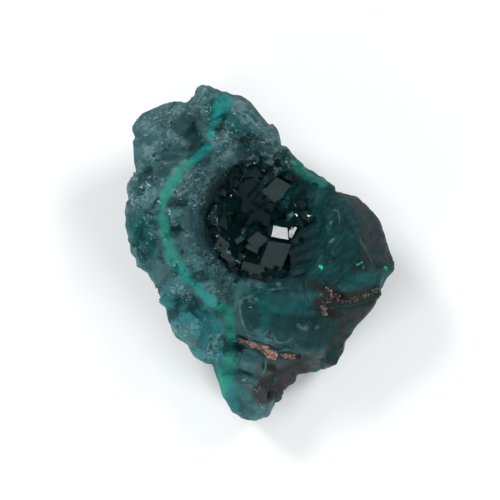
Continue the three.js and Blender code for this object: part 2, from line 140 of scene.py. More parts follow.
@dataclass(frozen=True)
class Band:
    """A soft-edged band along a line on the open face, or a spot where the line is one point.

    Args:
        line: points of its middle, in millimetres on the face.
        reach: from the middle to where it begins to fade.
        fade: how far it takes to fade out.
    """

    line: tuple[tuple[float, float], ...]
    reach: float
    fade: float

    def mask(self, places: np.ndarray) -> np.ndarray:
        """How much of the band is at each place.

        Args:
            places: places on the axes of the face.

        Returns:
            From 0 outside the band to 1 within its reach, for each place.
        """
        flat, line = places[:, :2], np.array(self.line, float)
        nearest = np.full(len(flat), np.inf)
        for start, end in zip(line, line[1:] if len(line) > 1 else line):
            along = end - start
            share = np.clip((flat - start) @ along / max(along @ along, 1e-9), 0, 1)
            nearest = np.minimum(nearest, np.linalg.norm(flat - start - share[:, None] * along, axis=1))
        return smooth_step(1 - (nearest - self.reach) / self.fade)


def masks(bands: Sequence[Band], places: np.ndarray) -> np.ndarray:
    """The strongest of several bands at each place."""
    return np.max([band.mask(places) for band in bands], axis=0)


# Where things lie on the open face. Most of these bands say where a tint is laid, and some of those, such as
# CALM and SUGAR, also where the surface is smoother or rougher. FILLED, EASED and WORN only smooth it.

SEAM = (
    Band(((-5.7, 27.2), (-6.4, 25.8)), 0.7, 1.5),
    Band(((-6.4, 25.6), (-7.6, 22.8), (-8.4, 20.6)), 0.0, 1.5),
    Band(((-8.8, 18.6), (-9.8, 17.6), (-11.6, 16.2)), 0.1, 1.6),
    Band(((-11.6, 16.2), (-13.8, 13.8), (-15.4, 11.4), (-16.6, 9.2), (-17.2, 7.0)), 0.1, 1.6),
    Band(((-16.8, 5.6), (-16.2, 2.0), (-15.4, -0.6)), 0.0, 2.0),
    Band(((-15.4, -0.6), (-14.2, -2.6), (-12.6, -4.8)), 0.4, 1.7),
    Band(((-12.6, -4.8), (-10.4, -6.6), (-8.2, -8.8)), 0.0, 1.5),
    Band(((-8.2, -8.8), (-5.8, -10.4), (-4.9, -11.6)), 0.4, 1.2),
    Band(((-4.8, -12.2), (-4.6, -16), (-4.2, -19.6)), -0.3, 2.2),
    Band(((-4.6, -19.6), (-5.8, -23), (-7.0, -26.4)), 0.2, 2.6),
)
CYAN = (
    Band(((-5.8, 27.6), (-7.4, 23), (-9, 18.4), (-9.8, 17.6)), 1.4, 1.4),
    Band(((-13.4, -4), (-10, -6.8), (-9, -7.8)), 1.0, 1.6),
)
# Pale frosted faces. Some of these bands are painted highlight: grey facets that stand for reflections, a
# light streak beside a glint, and light laid on stretches that lie in shade.
PALE_AND_HIGHLIGHT = (
    Band(((-20.2, 23.0), (-17.3, 21.2), (-14.2, 20), (-12.8, 19.1)), 0.3, 1.7),
    Band(((-22.6, 20), (-18.4, 16.6), (-12.6, 13.4)), 0.0, 2.2),
    Band(((-24, 13), (-23.6, 8)), 0.8, 1.8),
    Band(((-3.4, 26), (0.6, 22), (3.6, 18.6)), 0.6, 2.2),
    Band(((-0.4, 15.8), (3.4, 15.4)), 0.9, 1.8),
    Band(((-15.8, -14.6), (-12.8, -17)), 0.3, 1.8),
    Band(((-13.2, -9.4), (-12, -11)), -0.8, 2.4),
    Band(((-1.4, -5.6), (0.6, -6.2)), 0.1, 1.2),
    Band(((-1.6, -8.2), (-0.4, -8.8)), 0.1, 1.4),
    Band(((3.8, -5.9), (4.2, -6.6)), 0.2, 0.6),
    Band(((7.6, -13.2), (8.6, -13.8)), 0.2, 1.0),
    Band(((10.6, -14.0), (10.9, -13.7)), 0.1, 0.4),
    Band(((2.0, -15.0), (2.6, -15.2)), 0.1, 0.8),
    Band(((12.8, 4.2), (13.3, 5.2)), 0.1, 0.4),
    Band(((13.0, 1.4), (13.9, 2.3)), 0.1, 0.4),
    Band(((12.6, -2.9), (13.1, -2.0)), 0.1, 0.35),
    Band(((17.8, -2.6), (19.2, -3.0)), 0.1, 0.7),
)
PRISM = (Band(((8, 11.6), (12.4, 7.6), (14, 3.4), (12.8, -1.0)), 2.8, 4.0),)
GLEAM = (
    Band(((-15.4, -9), (-13, -11.6), (-10.4, -15), (-8, -20)), 1.8, 2.4),
    Band(((-9.6, -11.4), (-7.8, -14)), 1.0, 1.6),
    Band(((-6, -22.4), (-5.2, -28)), 1.0, 2.0),
)
RIM_GLOW = (Band(((7.2, 15.6), (9.2, 13.9), (12, 12.4)), 0.2, 1.5),)
WALL = (
    Band(
        ((-7.6, 15.6), (-10.6, 12), (-12.6, 8), (-13, 3), (-11.6, -1.4), (-8.6, -4.8), (-5, -7.4)), 1.7, 1.8
    ),
    Band(((-4.6, 20.8), (-1, 18.6), (3, 16.6)), 1.4, 2.2),
)
GLOW = (
    Band(((0.4, -9.8), (3.2, -11.4), (6.6, -11.2)), 1.6, 3.4),
    Band(((17.4, -5.2), (22.4, -4.2)), 1.4, 2.6),
    Band(((16.6, 0.4), (18.6, -2.4)), 0.4, 2.6),
    Band(((-11, -9.8), (-10, -11.4)), 0.6, 1.6),
    Band(((-20.4, 4.6), (-21.4, -2.4)), 1, 3.4),
    Band(((-6.6, 25.4), (-2.6, 23.2)), 1.2, 2.8),
)
CALM = (
    Band(((0, -9), (9, -11), (13, -14)), 4.6, 3),
    Band(((14.6, 5), (18.4, 1), (20, -4)), 4.4, 3),
    Band(((3, -19.4), (13, -20.4)), 1.6, 1.4),
    Band(((-3.6, -22), (-2.2, -27.4)), 1.4, 2.0),
    Band(((0.4, -22), (6, -23)), 1.4, 1.6),
)
FILLED = (
    Band(((-18, 3.6),), 2.4, 1.8),
    Band(((-3.6, -20.4),), 1.0, 1.4),
    Band(((-3.6, -22.2), (-0.2, -22.6)), 0.9, 1.5),
    Band(((0.8, -20.8), (2.4, -21.8)), 0.9, 1.5),
    Band(((-5.4, -15.8), (-4.9, -18.2)), 1.3, 1.6),
)
EASED = (
    Band(((-1.4, -7.8), (-3.0, -9.4), (-2.9, -13.0), (-1.6, -15.0)), 0.9, 1.2),
    Band(((-1.4, -7.8), (2, -6.9), (6.4, -6.8)), 0.5, 1.2),
    Band(((-1.6, -15.0), (2.4, -15.8), (5.8, -16.4)), 0.4, 0.9),
    Band(((8.2, -4.8), (8.6, -11)), 0.5, 1.2),
    Band(((13.2, 8.4), (14.4, 6), (14, 3.4)), 0.6, 1.3),
    Band(((1.4, -19), (1.4, -22)), 0.5, 1.0),
)
# Painted shade: a dark wash round the hollow and down the right flank beside it. It also calms the surface
# there.
DEEP_SHADE = (
    Band(((0.8, 5.6),), 8.8, 4.2),
    Band(((12, 6.2), (13.6, 1.6), (11.4, -2.6)), 2.6, 3.8),
    Band(((16.4, 4.4), (17, 0.6)), 2.8, 3.8),
)
SHADE = (
    Band(((-1.4, -9.6), (-0.8, -12.2)), 0.7, 1.7),
    Band(((-13.6, 22.6), (-11, 19.4), (-9.8, 16.8)), 0.6, 2.4),
    Band(((-20.6, 13.4), (-16.6, 14.2)), 0.3, 1.8),
    Band(((-13.6, -8.8), (-11, -9.4)), 0.5, 1.8),
    Band(((-17.6, -13.2), (-15, -11.4)), 0.2, 1.8),
    Band(((3.6, -6), (7, -6), (13, -5.4)), 0.6, 2.4),
    Band(((14, 6.6), (16, 2.6), (15.6, -1.0)), 1.6, 3.0),
    Band(((-2.4, -10.6), (-1.6, -13.4)), 0.2, 1.8),
    Band(((5, -14.6), (12.4, -14.6), (15.6, -11)), 1.4, 3.4),
    Band(((-1, 19), (5, 16.4), (9, 12)), 1.0, 2.6),
)
ASH = (
    Band(((1.4, -21.6), (5.6, -20.3), (13.4, -19.7)), 1.0, 1.4),
    Band(((-13.2, -13.8), (-10.8, -16.8)), -0.7, 2.2),
    Band(((-3.0, -8.8), (-3.2, -12), (-2.8, -14.6)), -0.2, 1.0),
    Band(((-20.4, -0.8), (-18.6, -2.8)), -1.0, 2.6),
    Band(((-17, -4.6),), -0.6, 2.4),
    Band(((-1.4, -24.6), (0.6, -27.8)), -0.7, 2.4),
)
SKIN = (
    Band(((12.4, 12.6), (17, 9.6), (20.8, 5), (23.0, 0)), 1.6, 4.2),
    Band(((20.4, -9.2), (16.8, -12.6), (15.0, -16.4), (14, -19.4)), 0.9, 1.6),
)
BARK = (Band(((1.6, -25.4), (4.4, -24.2), (8, -22.8)), 1.6, 1.5),)
# Dark brown rock in the clefts, and one band of painted shadow.
RUST_AND_SHADOW = (
    Band(((10, -5.8), (12.2, -7.2)), -0.3, 1.5),
    Band(((13, -8), (16, -8.8), (21.4, -7.6)), 0.3, 2.2),
    Band(((11.6, -9.8), (13.8, -10.8)), 0.6, 2.2),
    Band(((1.6, -20.9), (3, -21.4)), 0.3, 0.8),
    # Painted shadow: the dark line under the overhang, along the copper-coloured streak.
    Band(((-3.2, -15.7), (-0.4, -16.5), (2.4, -17.4), (5, -18.6), (7.8, -19.4)), 0.2, 0.5),
)
SUGAR = (
    Band(((-9.8, 26.2),), 1.2, 1.4),
    Band(((-5.9, 21.2),), 1.4, 1.6),
    Band(((-11, 12.2), (-12.6, 9.4)), 1.6, 1.6),
    Band(((-18.4, 4.2), (-19.0, 2.8)), 0.2, 1.0),
    Band(((-9, -1.2), (-8, -2.6)), 0.8, 1.2),
    Band(((-14.2, -6.8), (-13.2, -8)), 0.5, 1.1),
    Band(((-10.6, -13.4),), 0.6, 1.2),
    Band(((-7.4, -16.4), (-8.2, -18.4)), 0.9, 1.4),
    Band(((-1.6, -22.4), (-0.6, -24)), 0.7, 1.2),
    Band(((-22, 8.6), (-19, 12.4)), 0.5, 1.4),
    Band(((-18.4, 24.2), (-15.6, 23.4)), 0.2, 0.8),
    Band(((-23.2, 17.2), (-22.6, 16.6)), 0.1, 0.5),
    Band(((-15.2, 10.6), (-13.8, 10.0)), 0.1, 0.5),
    Band(((-20, 5.4), (-18.6, 6.8)), 0.2, 0.7),
    Band(((-15.2, -2.4), (-14.6, -3.2)), 0.2, 0.6),
    Band(((-2.4, -3.4), (-2.8, -5.2)), 0.1, 0.5),
)
GLINT = (
    Band(((11.4, -2.8), (11.6, -3.0)), 0.14, 0.34),
    Band(((17.9, -2.6), (19.1, -2.0)), -0.26, 0.7),
    Band(((23.2, -3.0), (23.5, -3.3)), 0.08, 0.34),
)
WORN = (Band(((15.8, -17.3),), 1.3, 1.4),)
TINTS = {
    "seam": SEAM,
    "cyan": CYAN,
    "pale": PALE_AND_HIGHLIGHT,
    "prism": PRISM,
    "gleam": GLEAM,
    "rim": RIM_GLOW,
    "wall": WALL,
    "glow": GLOW,
    "calm": CALM,
    "dusk": DEEP_SHADE,
    "shade": SHADE,
    "ash": ASH,
    "skin": SKIN,
    "bark": BARK,
    "rust": RUST_AND_SHADOW,
    "sugar": SUGAR,
    "glint": GLINT,
}


# ---------------------------------------------------------------- materials


class Shade:
    """A socket of a material's node tree that takes part in arithmetic."""

    def __init__(self, tree: bpy.types.NodeTree, socket: bpy.types.NodeSocket) -> None:
        """Wraps a socket of a tree."""
        self.tree, self.socket = tree, socket

    def _math(self, operation: str, *values: Shade | float) -> Shade:
        """Adds one Math node.

        Args:
            operation: the node's operation.
            values: what its sockets take, in order.

        Returns:
            The node's result.
        """
        node = add_node(self.tree, "ShaderNodeMath", {"operation": operation}, dict(enumerate(values)))
        return Shade(self.tree, node.outputs[0])

    def __add__(self, other: Shade | float) -> Shade:
        """Self + other."""
        return self._math("ADD", self, other)

    def __radd__(self, other: float) -> Shade:
        """Other + self."""
        return self._math("ADD", other, self)

    def __sub__(self, other: Shade | float) -> Shade:
        """Self - other."""
        return self._math("SUBTRACT", self, other)

    def __rsub__(self, other: float) -> Shade:
        """Other - self."""
        return self._math("SUBTRACT", other, self)

    def __mul__(self, other: Shade | float) -> Shade:
        """Self * other."""
        return self._math("MULTIPLY", self, other)

    def __rmul__(self, other: float) -> Shade:
        """Other * self."""
        return self._math("MULTIPLY", other, self)

    def held(self) -> Shade:
        """Self, kept between 0 and 1."""
        return self._math("MINIMUM", self._math("MAXIMUM", self, 0.0), 1.0)

    def between(self, low: float, high: float) -> Shade:
        """Self, eased from 0 at low to 1 at high."""
        eased = {"interpolation_type": "SMOOTHSTEP"}
        node = add_node(self.tree, "ShaderNodeMapRange", eased, {0: self, 1: low, 2: high})
        return Shade(self.tree, node.outputs[0])


def add_node(
    tree: bpy.types.NodeTree, kind: str, settings: dict[str, Any], sockets: dict[str | int, Any]
) -> bpy.types.Node:
    """Adds a node to a material's tree.

    Args:
        tree: the tree.
        kind: the node's type.
        settings: its own settings, which are set first.
        sockets: values or links of its sockets, by name or place.

    Returns:
        The node.
    """
    node = tree.nodes.new(kind)
    for key, value in settings.items():
        setattr(node, key, value)
    for key, value in sockets.items():
        if isinstance(value, Shade):
            tree.links.new(value.socket, node.inputs[key])
        elif isinstance(value, tuple) and len(value) == 3 and len(node.inputs[key].default_value) == 4:
            node.inputs[key].default_value = (*value, 1)
        else:
            node.inputs[key].default_value = value
    return node


Colour = tuple[float, float, float]
HALVES = (0.5, 0.5, 0.5)


class Bench:
    """A new material's node tree and the ways to add to it."""

    def __init__(self, name: str) -> None:
        """Starts an empty material.

        Args:
            name: the material's name.
        """
        self.material = bpy.data.materials.new(name)
        self.material.use_nodes = True
        self.tree = self.material.node_tree
        self.tree.nodes.clear()

    def node(
        self, kind: str, settings: dict[str, Any], sockets: dict[str | int, Any], output: str | int = 0
    ) -> Shade:
        """Adds a node.

        Args:
            kind: the node's type.
            settings: its own settings.
            sockets: values or links of its sockets, by name or place.
            output: the output that is wanted.

        Returns:
            That output.
        """
        return Shade(self.tree, add_node(self.tree, kind, settings, sockets).outputs[output])

    def vector(self, operation: str, sockets: dict[str | int, Any]) -> Shade:
        """The result of vector maths on a place, a direction or a colour."""
        return self.node("ShaderNodeVectorMath", {"operation": operation}, sockets)

    def place(self) -> Shade:
        """Where a point of the piece is, in millimetres."""
        spot = self.node("ShaderNodeTexCoord", {}, {}, "Object")
        return self.vector("SCALE", {0: spot, "Scale": 1 / MM})

    def mark(self, name: str) -> Shade:
        """A value that the mesh carries."""
        return self.node("ShaderNodeAttribute", {"attribute_name": name}, {}, "Fac")

    def cloud(self, place: Shade, size: float, detail: float = 3, rough: float = 0.55) -> Shade:
        """Soft noise whose lumps are about size millimetres."""
        lumps = {"Vector": place, "Scale": 1 / size, "Detail": detail, "Roughness": rough}
        return self.node("ShaderNodeTexNoise", {}, lumps)

    def streaks(self, place: Shade, size: float, long: float, turn: float, detail: float = 3) -> Shade:
        """Soft noise drawn out along one direction.

        Args:
            place: where the point is.
            size: how wide a streak is, in millimetres.
            long: how many times longer it is.
            turn: its direction about the vertical, in radians.
            detail: how much finer noise it carries.

        Returns:
            The noise.
        """
        lay = {"Vector": place, "Rotation": (0, 0, turn), "Scale": (long, 1, 1)}
        drawn = self.node("ShaderNodeMapping", {"vector_type": "TEXTURE"}, lay)
        return self.cloud(drawn, size, detail)

    def warped(self, place: Shade, size: float, reach: float) -> Shade:
        """A place that is pushed about by noise.

        Args:
            place: where the point is.
            size: how wide the noise's lumps are, in millimetres.
            reach: how far it pushes, in millimetres.

        Returns:
            The new place.
        """
        lumps = {"Vector": place, "Scale": 1 / size, "Detail": 2.0}
        push = self.node("ShaderNodeTexNoise", {}, lumps, "Color")
        centred = self.vector("SUBTRACT", {0: push, 1: HALVES})
        scaled = self.vector("SCALE", {0: centred, "Scale": 2 * reach})
        return self.vector("ADD", {0: place, 1: scaled})

    def grains(self, place: Shade, size: float) -> tuple[Shade, Shade]:
        """Cells with a shade of their own.

        Args:
            place: where the point is.
            size: how wide a cell is, in millimetres.

        Returns:
            A number and a colour that are steady within each cell.
        """
        colour = self.node("ShaderNodeTexVoronoi", {}, {"Vector": place, "Scale": 1 / size}, "Color")
        return self.node("ShaderNodeSeparateColor", {}, {0: colour}), colour

    def mix(self, low: Shade | Colour, high: Shade | Colour, share: Shade | float) -> Shade:
        """Low where share is 0, and high where it is 1."""
        return self.node("ShaderNodeMix", {"data_type": "RGBA"}, {0: share, 6: low, 7: high}, 2)

    def dimmed(self, colour: Shade, share: Shade) -> Shade:
        """Colour times a number."""
        return self.vector("SCALE", {0: colour, "Scale": share})

    def tilted(self, colours: Sequence[tuple[Shade, Shade | float]]) -> Shade:
        """The surface's normal, turned a little in each cell.

        Args:
            colours: each set of cells' colours, and how strongly it turns the normal.

        Returns:
            The new normal.
        """
        normal = self.node("ShaderNodeNewGeometry", {}, {}, "Normal")
        for colour, strength in colours:
            centred = self.vector("SUBTRACT", {0: colour, 1: HALVES})
            push = self.vector("SCALE", {0: centred, "Scale": strength})
            normal = self.vector("ADD", {0: normal, 1: push})
        return self.vector("NORMALIZE", {0: normal})

    def finish(self, sockets: dict[str, Any], volume: Shade | None = None) -> bpy.types.Material:
        """Ends the material in one surface shader.

        Args:
            sockets: values or links of the shader's sockets.
            volume: what fills the piece, where it is see-through.

        Returns:
            The material.
        """
        ends = {"Surface": self.node("ShaderNodeBsdfPrincipled", {}, sockets)}
        if volume is not None:
            ends["Volume"] = volume
        add_node(self.tree, "ShaderNodeOutputMaterial", {}, ends)
        return self.material


@dataclass(frozen=True)
class Wash:
    """A tint that is laid on where a mark says so, with a ragged edge.

    Args:
        mark: the mark.
        tint: the tint.
        ragged: how much noise its edge takes.
        level: how much is taken off, so that the noise shows nothing by itself.
        low, high: where it starts to show and where it is full.
        most: how strong it is at its fullest.
    """

    mark: str
    tint: Colour
    ragged: float
    level: float
    low: float
    high: float
    most: float

    def over(self, bench: Bench, colour: Shade, noise: Shade) -> Shade:
        """Lays the tint over a colour.

        Args:
            bench: the material.
            colour: what lies under it.
            noise: the noise of its edge.

        Returns:
            The new colour.
        """
        share = (bench.mark(self.mark) + noise * self.ragged - self.level).between(self.low, self.high)
        return bench.mix(colour, self.tint, share * self.most)


@dataclass(frozen=True)
class FaceTints:
    """Colours of the open face that dioptase and rock share, some of them painted shade and painted
    highlight.
    """

    washes: tuple[Wash, ...] = (
        Wash("glow", (0.003, 0.066, 0.067), 0.9, 0.5, 0.0, 0.85, 0.9),
        Wash("gleam", (0.012, 0.158, 0.168), 0.9, 0.5, 0.0, 0.85, 0.62),
        Wash("shade", (0.004, 0.032, 0.034), 0.9, 0.45, 0.05, 0.9, 0.8),
        Wash("ash", (0.066, 0.082, 0.078), 0.9, 0.45, 0.15, 0.9, 0.85),
        # painted shade round the hollow
        Wash("dusk", (0.002, 0.012, 0.0135), 0.3, 0.15, 0.02, 0.8, 0.95),
    )
    skin: Colour = (0.033, 0.034, 0.037)
    moss: Colour = (0.005, 0.031, 0.033)
    bark: Colour = (0.041, 0.038, 0.039)
    prism: Colour = (0.001, 0.028, 0.030)
    sheen: Colour = (0.012, 0.082, 0.084)
    # pale frosted faces, partly painted highlight
    pale: Colour = (0.115, 0.190, 0.195)
    seam: Colour = (0.020, 0.212, 0.164)
    cyan: Colour = (0.008, 0.195, 0.187)
    rust: Colour = (0.013, 0.014, 0.012)
    glint: Colour = (0.010, 0.520, 0.340)

    def over(self, bench: Bench, colour: Shade, place: Shade, loose: Shade) -> Shade:
        """Lays the tints over a colour.

        Args:
            bench: the material.
            colour: what lies under them.
            place: where the point is.
            loose: the same, pushed about.

        Returns:
            The new colour.
        """
        patch = bench.cloud(place, 2.4, 3)
        edge = bench.cloud(loose, 0.9, 3, 0.6)
        for wash in self.washes:
            colour = wash.over(bench, colour, patch)
        colour = self._skins(bench, colour, loose, patch, edge)
        colour = self._crystal_faces(bench, colour, place, loose, patch)
        colour = self._greens(bench, colour, place, loose, patch, edge)
        # Dark rock in the clefts, and the painted shadow along the streak.
        rust = (bench.mark("rust") + patch * 0.7 + edge * 0.7 - 0.7).between(0.05, 0.95)
        colour = bench.mix(colour, self.rust, rust * 0.95)
        glint = (bench.mark("glint") + bench.cloud(place, 0.5, 2) * 0.9 - 0.6).between(0.1, 0.7)
        return bench.mix(colour, self.glint, glint)

    def _skins(self, bench: Bench, colour: Shade, loose: Shade, patch: Shade, edge: Shade) -> Shade:
        """Lays the brown skins over a colour.

        Args:
            bench: the material.
            colour: what lies under them.
            loose: where the point is, pushed about.
            patch, edge: coarse and fine noise for their edges.

        Returns:
            The new colour.
        """
        brown = bench.mix(self.skin, self.moss, bench.cloud(loose, 1.8, 4).between(0.40, 0.62) * 0.85)
        skin = (bench.mark("skin") + patch * 0.9 + edge * 0.5 - 0.7).between(0.0, 0.9)
        colour = bench.mix(colour, brown, skin)
        bark = (bench.mark("bark") + patch * 0.7 + edge * 0.5 - 0.6).between(0.1, 0.9)
        return bench.mix(colour, self.bark, bark)

    def _crystal_faces(self, bench: Bench, colour: Shade, place: Shade, loose: Shade, patch: Shade) -> Shade:
        """Lays the dark prisms, striped with painted sheen, and the pale frosted faces, partly painted
        highlight, over a colour.

        Args:
            bench: the material.
            colour: what lies under them.
            place: where the point is.
            loose: the same, pushed about.
            patch: coarse noise for their edges.

        Returns:
            The new colour.
        """
        stripes = bench.streaks(place, 0.6, 7, 0.75)
        striped = bench.mix(self.prism, self.sheen, stripes.between(0.38, 0.75) * 0.75)
        prism = (bench.mark("prism") + patch * 0.5 - 0.25).between(0.05, 0.8)
        colour = bench.mix(colour, striped, prism * 0.92)
        spot = bench.mark("pale")
        shard = bench.grains(loose, 1.0)[0]
        frosted = bench.streaks(loose, 0.45, 4, -0.6)
        pale = (spot * 0.7 + shard * 0.8 + frosted * 0.8 - 1.0).between(0.2, 0.75)
        return bench.mix(colour, self.pale, pale * spot * 0.7)

    def _greens(
        self, bench: Bench, colour: Shade, place: Shade, loose: Shade, patch: Shade, edge: Shade
    ) -> Shade:
        """Lays the green seam and the green rim of the hollow over a colour.

        Args:
            bench: the material.
            colour: what lies under them.
            place: where the point is.
            loose: the same, pushed about.
            patch, edge: coarse and fine noise for their edges.

        Returns:
            The new colour.
        """
        green = bench.mix(self.seam, self.cyan, bench.mark("cyan"))
        thread = bench.streaks(loose, 0.35, 5, 0.4)
        rim = (bench.mark("rim") + edge * 0.6 + thread * 0.6 - 0.6).between(0.1, 0.9)
        colour = bench.mix(colour, green, rim * 0.62)
        fill = 0.74 + 0.26 * bench.cloud(place, 5.2, 1).between(0.38, 0.6)
        line = bench.mark("seam")
        seam = (line * 1.2 + edge * 0.5 + patch * 0.5 + thread * 0.5 - 0.92).between(0.05, 0.95)
        return bench.mix(colour, green, seam * fill * line.between(0, 0.3))


@dataclass(frozen=True)
class MassiveFinish:
    """Broken massive dioptase: mottled teal, with small flat grains that catch the light one by one."""

    deep: Colour = (0.029, 0.080, 0.087)
    teal: Colour = (0.034, 0.116, 0.126)
    haze: Colour = (0.088, 0.150, 0.158)
    # Pale specks of frosted grains, partly painted sparkle.
    frost_and_sparkle: Colour = (0.200, 0.300, 0.310)
    # Painted shade: the wall behind the hollow's crystals, near black so that the hollow reads dark.
    hollow: Colour = (0.002, 0.020, 0.018)
    rock: Colour = (0.038, 0.034, 0.034)
    tints: FaceTints = FaceTints()
    name: str = "massive_dioptase"
    specular: float = 0.065

    def make(self) -> bpy.types.Material:
        """Builds the material.

        Returns:
            The material.
        """
        bench = Bench(self.name)
        place = bench.place()
        loose = bench.warped(place, 2.2, 0.5)
        chip, chip_colour = bench.grains(loose, 0.9)
        speck, speck_colour = bench.grains(place, 0.34)
        broad = bench.cloud(place, 6.5, 2)
        fine = bench.cloud(loose, 1.5, 3, 0.55)
        facet, calm, dusk, wall = (bench.mark(name) for name in ("facet", "calm", "dusk", "wall"))
        still = (calm + dusk * 0.8 + bench.mark("skin")).held()
        lively = 1 - still
        gather = bench.cloud(place, 3.4, 2).between(0.45, 0.66)
        body = (broad * 0.6 + fine * 0.45 + facet * 0.45).between(0.42, 1.0)
        colour = bench.mix(self.deep, self.teal, body)
        lean = facet.between(0.4, 0.5)
        drawn = bench.streaks(loose, 0.34, 5, 0.9) * lean + bench.streaks(loose, 0.34, 5, -0.7) * (1 - lean)
        haze = (facet * 0.4 + drawn * 1.1 + gather * 0.25).between(0.8, 1.15)
        colour = bench.mix(colour, self.haze, haze * (1 - 0.7 * still) * 0.8)
        colour = self.tints.over(bench, colour, place, loose)
        foot = (bench.mark("foot") * 0.9 + broad * 1.5 + fine * 0.8 - 1.5).between(0.1, 0.6)
        colour = bench.mix(colour, self.rock, foot * 0.8)
        meet = (bench.mark("near") * 0.7 + fine * 0.9 - 0.55).between(0.2, 0.9)
        colour = bench.mix(colour, self.tints.moss, meet * 0.7)
        # Painted shade on the wall of the hollow.
        colour = bench.mix(colour, self.hollow, bench.mark("hollow"))
        sugar = (bench.mark("sugar") + wall * 0.14).held() * (1 - 0.8 * dusk)
        # Pale specks: frosted grains and painted sparkle, more of them where the surface sparkles.
        frost_and_sparkle = (speck + 0.2 * gather + 0.25 * sugar).between(0.98, 1.14)
        frost_and_sparkle = frost_and_sparkle * (0.12 + 0.88 * lively) * (1 - bench.mark("seam"))
        colour = bench.mix(colour, self.frost_and_sparkle, frost_and_sparkle * 0.45)
        grit = bench.cloud(place, 0.2, 2, 0.7).between(0.36, 0.64)
        mottle = bench.cloud(place, 1.5, 4, 0.6).between(0.34, 0.66) - 0.5
        light = 0.76 + facet * 0.16 + chip * (0.06 + 0.09 * lively) + speck * (0.04 + 0.16 * sugar)
        light = light + grit * (0.08 + 0.16 * lively) - 0.12 * wall + mottle * 0.3 * calm
        # Painted shade: darker where the surface lies sunk between blocks.
        light = light * (1 - 0.16 * bench.mark("crease_shade") * lively) * (1 - 0.08 * calm)
        turned = (
            (chip_colour, 0.03 + 0.07 * lively + 0.15 * sugar),
            (speck_colour, 0.01 + 0.04 * lively + 0.28 * sugar),
        )
        rough = (0.50 - 0.2 * sugar + 0.12 * calm - 0.06 * dusk).held()
        return bench.finish(
            {
                "Base Color": bench.dimmed(colour, light),
                "Roughness": rough * 0.94 + 0.06,
                "IOR": DIOPTASE_IOR,
                "Specular IOR Level": self.specular,
                "Normal": bench.tilted(turned),
                "Subsurface Weight": 0.25,
                "Subsurface Radius": (0.25, 1.0, 0.9),
                "Subsurface Scale": 1.0 * MM,
            }
        )


@dataclass(frozen=True)
class ClearFinish:
    """Clear crystals of the hollow, see-through and darker with depth."""

    tint: Colour = (0.06, 0.30, 0.32)
    body: Colour = (0.04, 0.66, 0.66)
    density: float = 1500

    def make(self) -> bpy.types.Material:
        """Builds the material.

        Returns:
            The material.
        """
        bench = Bench("clear_dioptase")
        place = bench.place()
        fine = bench.cloud(place, 0.7, 3)
        etched = bench.grains(place, 0.8)[1]
        volume = bench.node("ShaderNodeVolumeAbsorption", {}, {"Color": self.body, "Density": self.density})
        return bench.finish(
            {
                "Base Color": self.tint,
                "Roughness": 0.06 + 0.10 * fine.between(0.5, 0.8),
                "IOR": DIOPTASE_IOR,
                "Specular IOR Level": 0.32,
                "Transmission Weight": 0.965,
                "Normal": bench.tilted(((etched, 0.03),)),
            },
            volume,
        )


@dataclass(frozen=True)
class RockFinish:
    """Brown iron-stained rock with a thin green-grey bloom."""

    dark: Colour = (0.016, 0.017, 0.018)
    brown: Colour = (0.040, 0.037, 0.038)
    pale: Colour = (0.100, 0.082, 0.070)
    bloom: Colour = (0.012, 0.062, 0.064)
    veil: Colour = (0.014, 0.078, 0.082)
    tints: FaceTints = FaceTints()

    def make(self) -> bpy.types.Material:
        """Builds the material.

        Returns:
            The material.
        """
        bench = Bench("host_rock")
        place = bench.place()
        loose = bench.warped(place, 2.0, 0.5)
        lump, lump_colour = bench.grains(loose, 1.9)
        crumb, crumb_colour = bench.grains(loose, 0.5)
        broad = bench.cloud(place, 5.5, 3)
        fine = bench.cloud(place, 0.8, 4, 0.65)
        colour = bench.mix(self.dark, self.brown, (fine * 0.8 + lump * 0.4).between(0.3, 0.85))
        colour = bench.mix(colour, self.pale, (fine * 0.7 + crumb * 0.6).between(0.82, 1.1) * 0.5)
        head = bench.mark("foot") * 0.5 + bench.mark("front") * 0.8
        bloom = (broad * 0.9 + fine * 0.3 + head).between(0.7, 0.95)
        colour = bench.mix(colour, self.bloom, bloom * 0.9)
        veil = (bench.mark("calm") + fine * 0.5 - 0.25).between(0.1, 0.6)
        colour = bench.mix(colour, self.veil, veil * 0.9)
        colour = self.tints.over(bench, colour, place, loose)
        meet = (bench.mark("near") * 0.8 + fine * 0.9 - 0.5).between(0.2, 0.9)
        colour = bench.mix(colour, self.tints.moss, meet * 0.8)
        return bench.finish(
            {
                "Base Color": bench.dimmed(colour, 0.8 + 0.35 * crumb),
                "Roughness": 0.48 + 0.3 * fine,
                "IOR": 1.5,
                "Specular IOR Level": 0.16,
                "Normal": bench.tilted(((lump_colour, 0.08), (crumb_colour, 0.16))),
            }
        )


@dataclass(frozen=True)
class GrainFinish:
    """Copper-coloured and tan grains that lie in the clefts."""

    rose: Colour = (0.44, 0.245, 0.195)
    tan: Colour = (0.14, 0.115, 0.080)
    umber: Colour = (0.045, 0.024, 0.020)
    dark: Colour = (0.010, 0.020, 0.019)

    def make(self) -> bpy.types.Material:
        """Builds the material.

        Returns:
            The material.
        """
        bench = Bench("cleft_grains")
        place = bench.place()
        tone = bench.mark("tone")
        crumb, crumb_colour = bench.grains(place, 0.22)
        fine = bench.cloud(place, 0.45, 3)
        colour = bench.mix(self.dark, self.umber, (tone + fine * 0.2).between(0.0, 0.35))
        colour = bench.mix(colour, self.rose, (tone + fine * 0.4).between(0.3, 0.95))
        colour = bench.mix(colour, self.tan, bench.mark("tan"))
        return bench.finish(
            {
                "Base Color": bench.dimmed(colour, 0.7 + 0.6 * crumb),
                "Roughness": 0.34 + 0.2 * fine,
                "IOR": 1.55,
                "Normal": bench.tilted(((crumb_colour, 0.5),)),
            }
        )


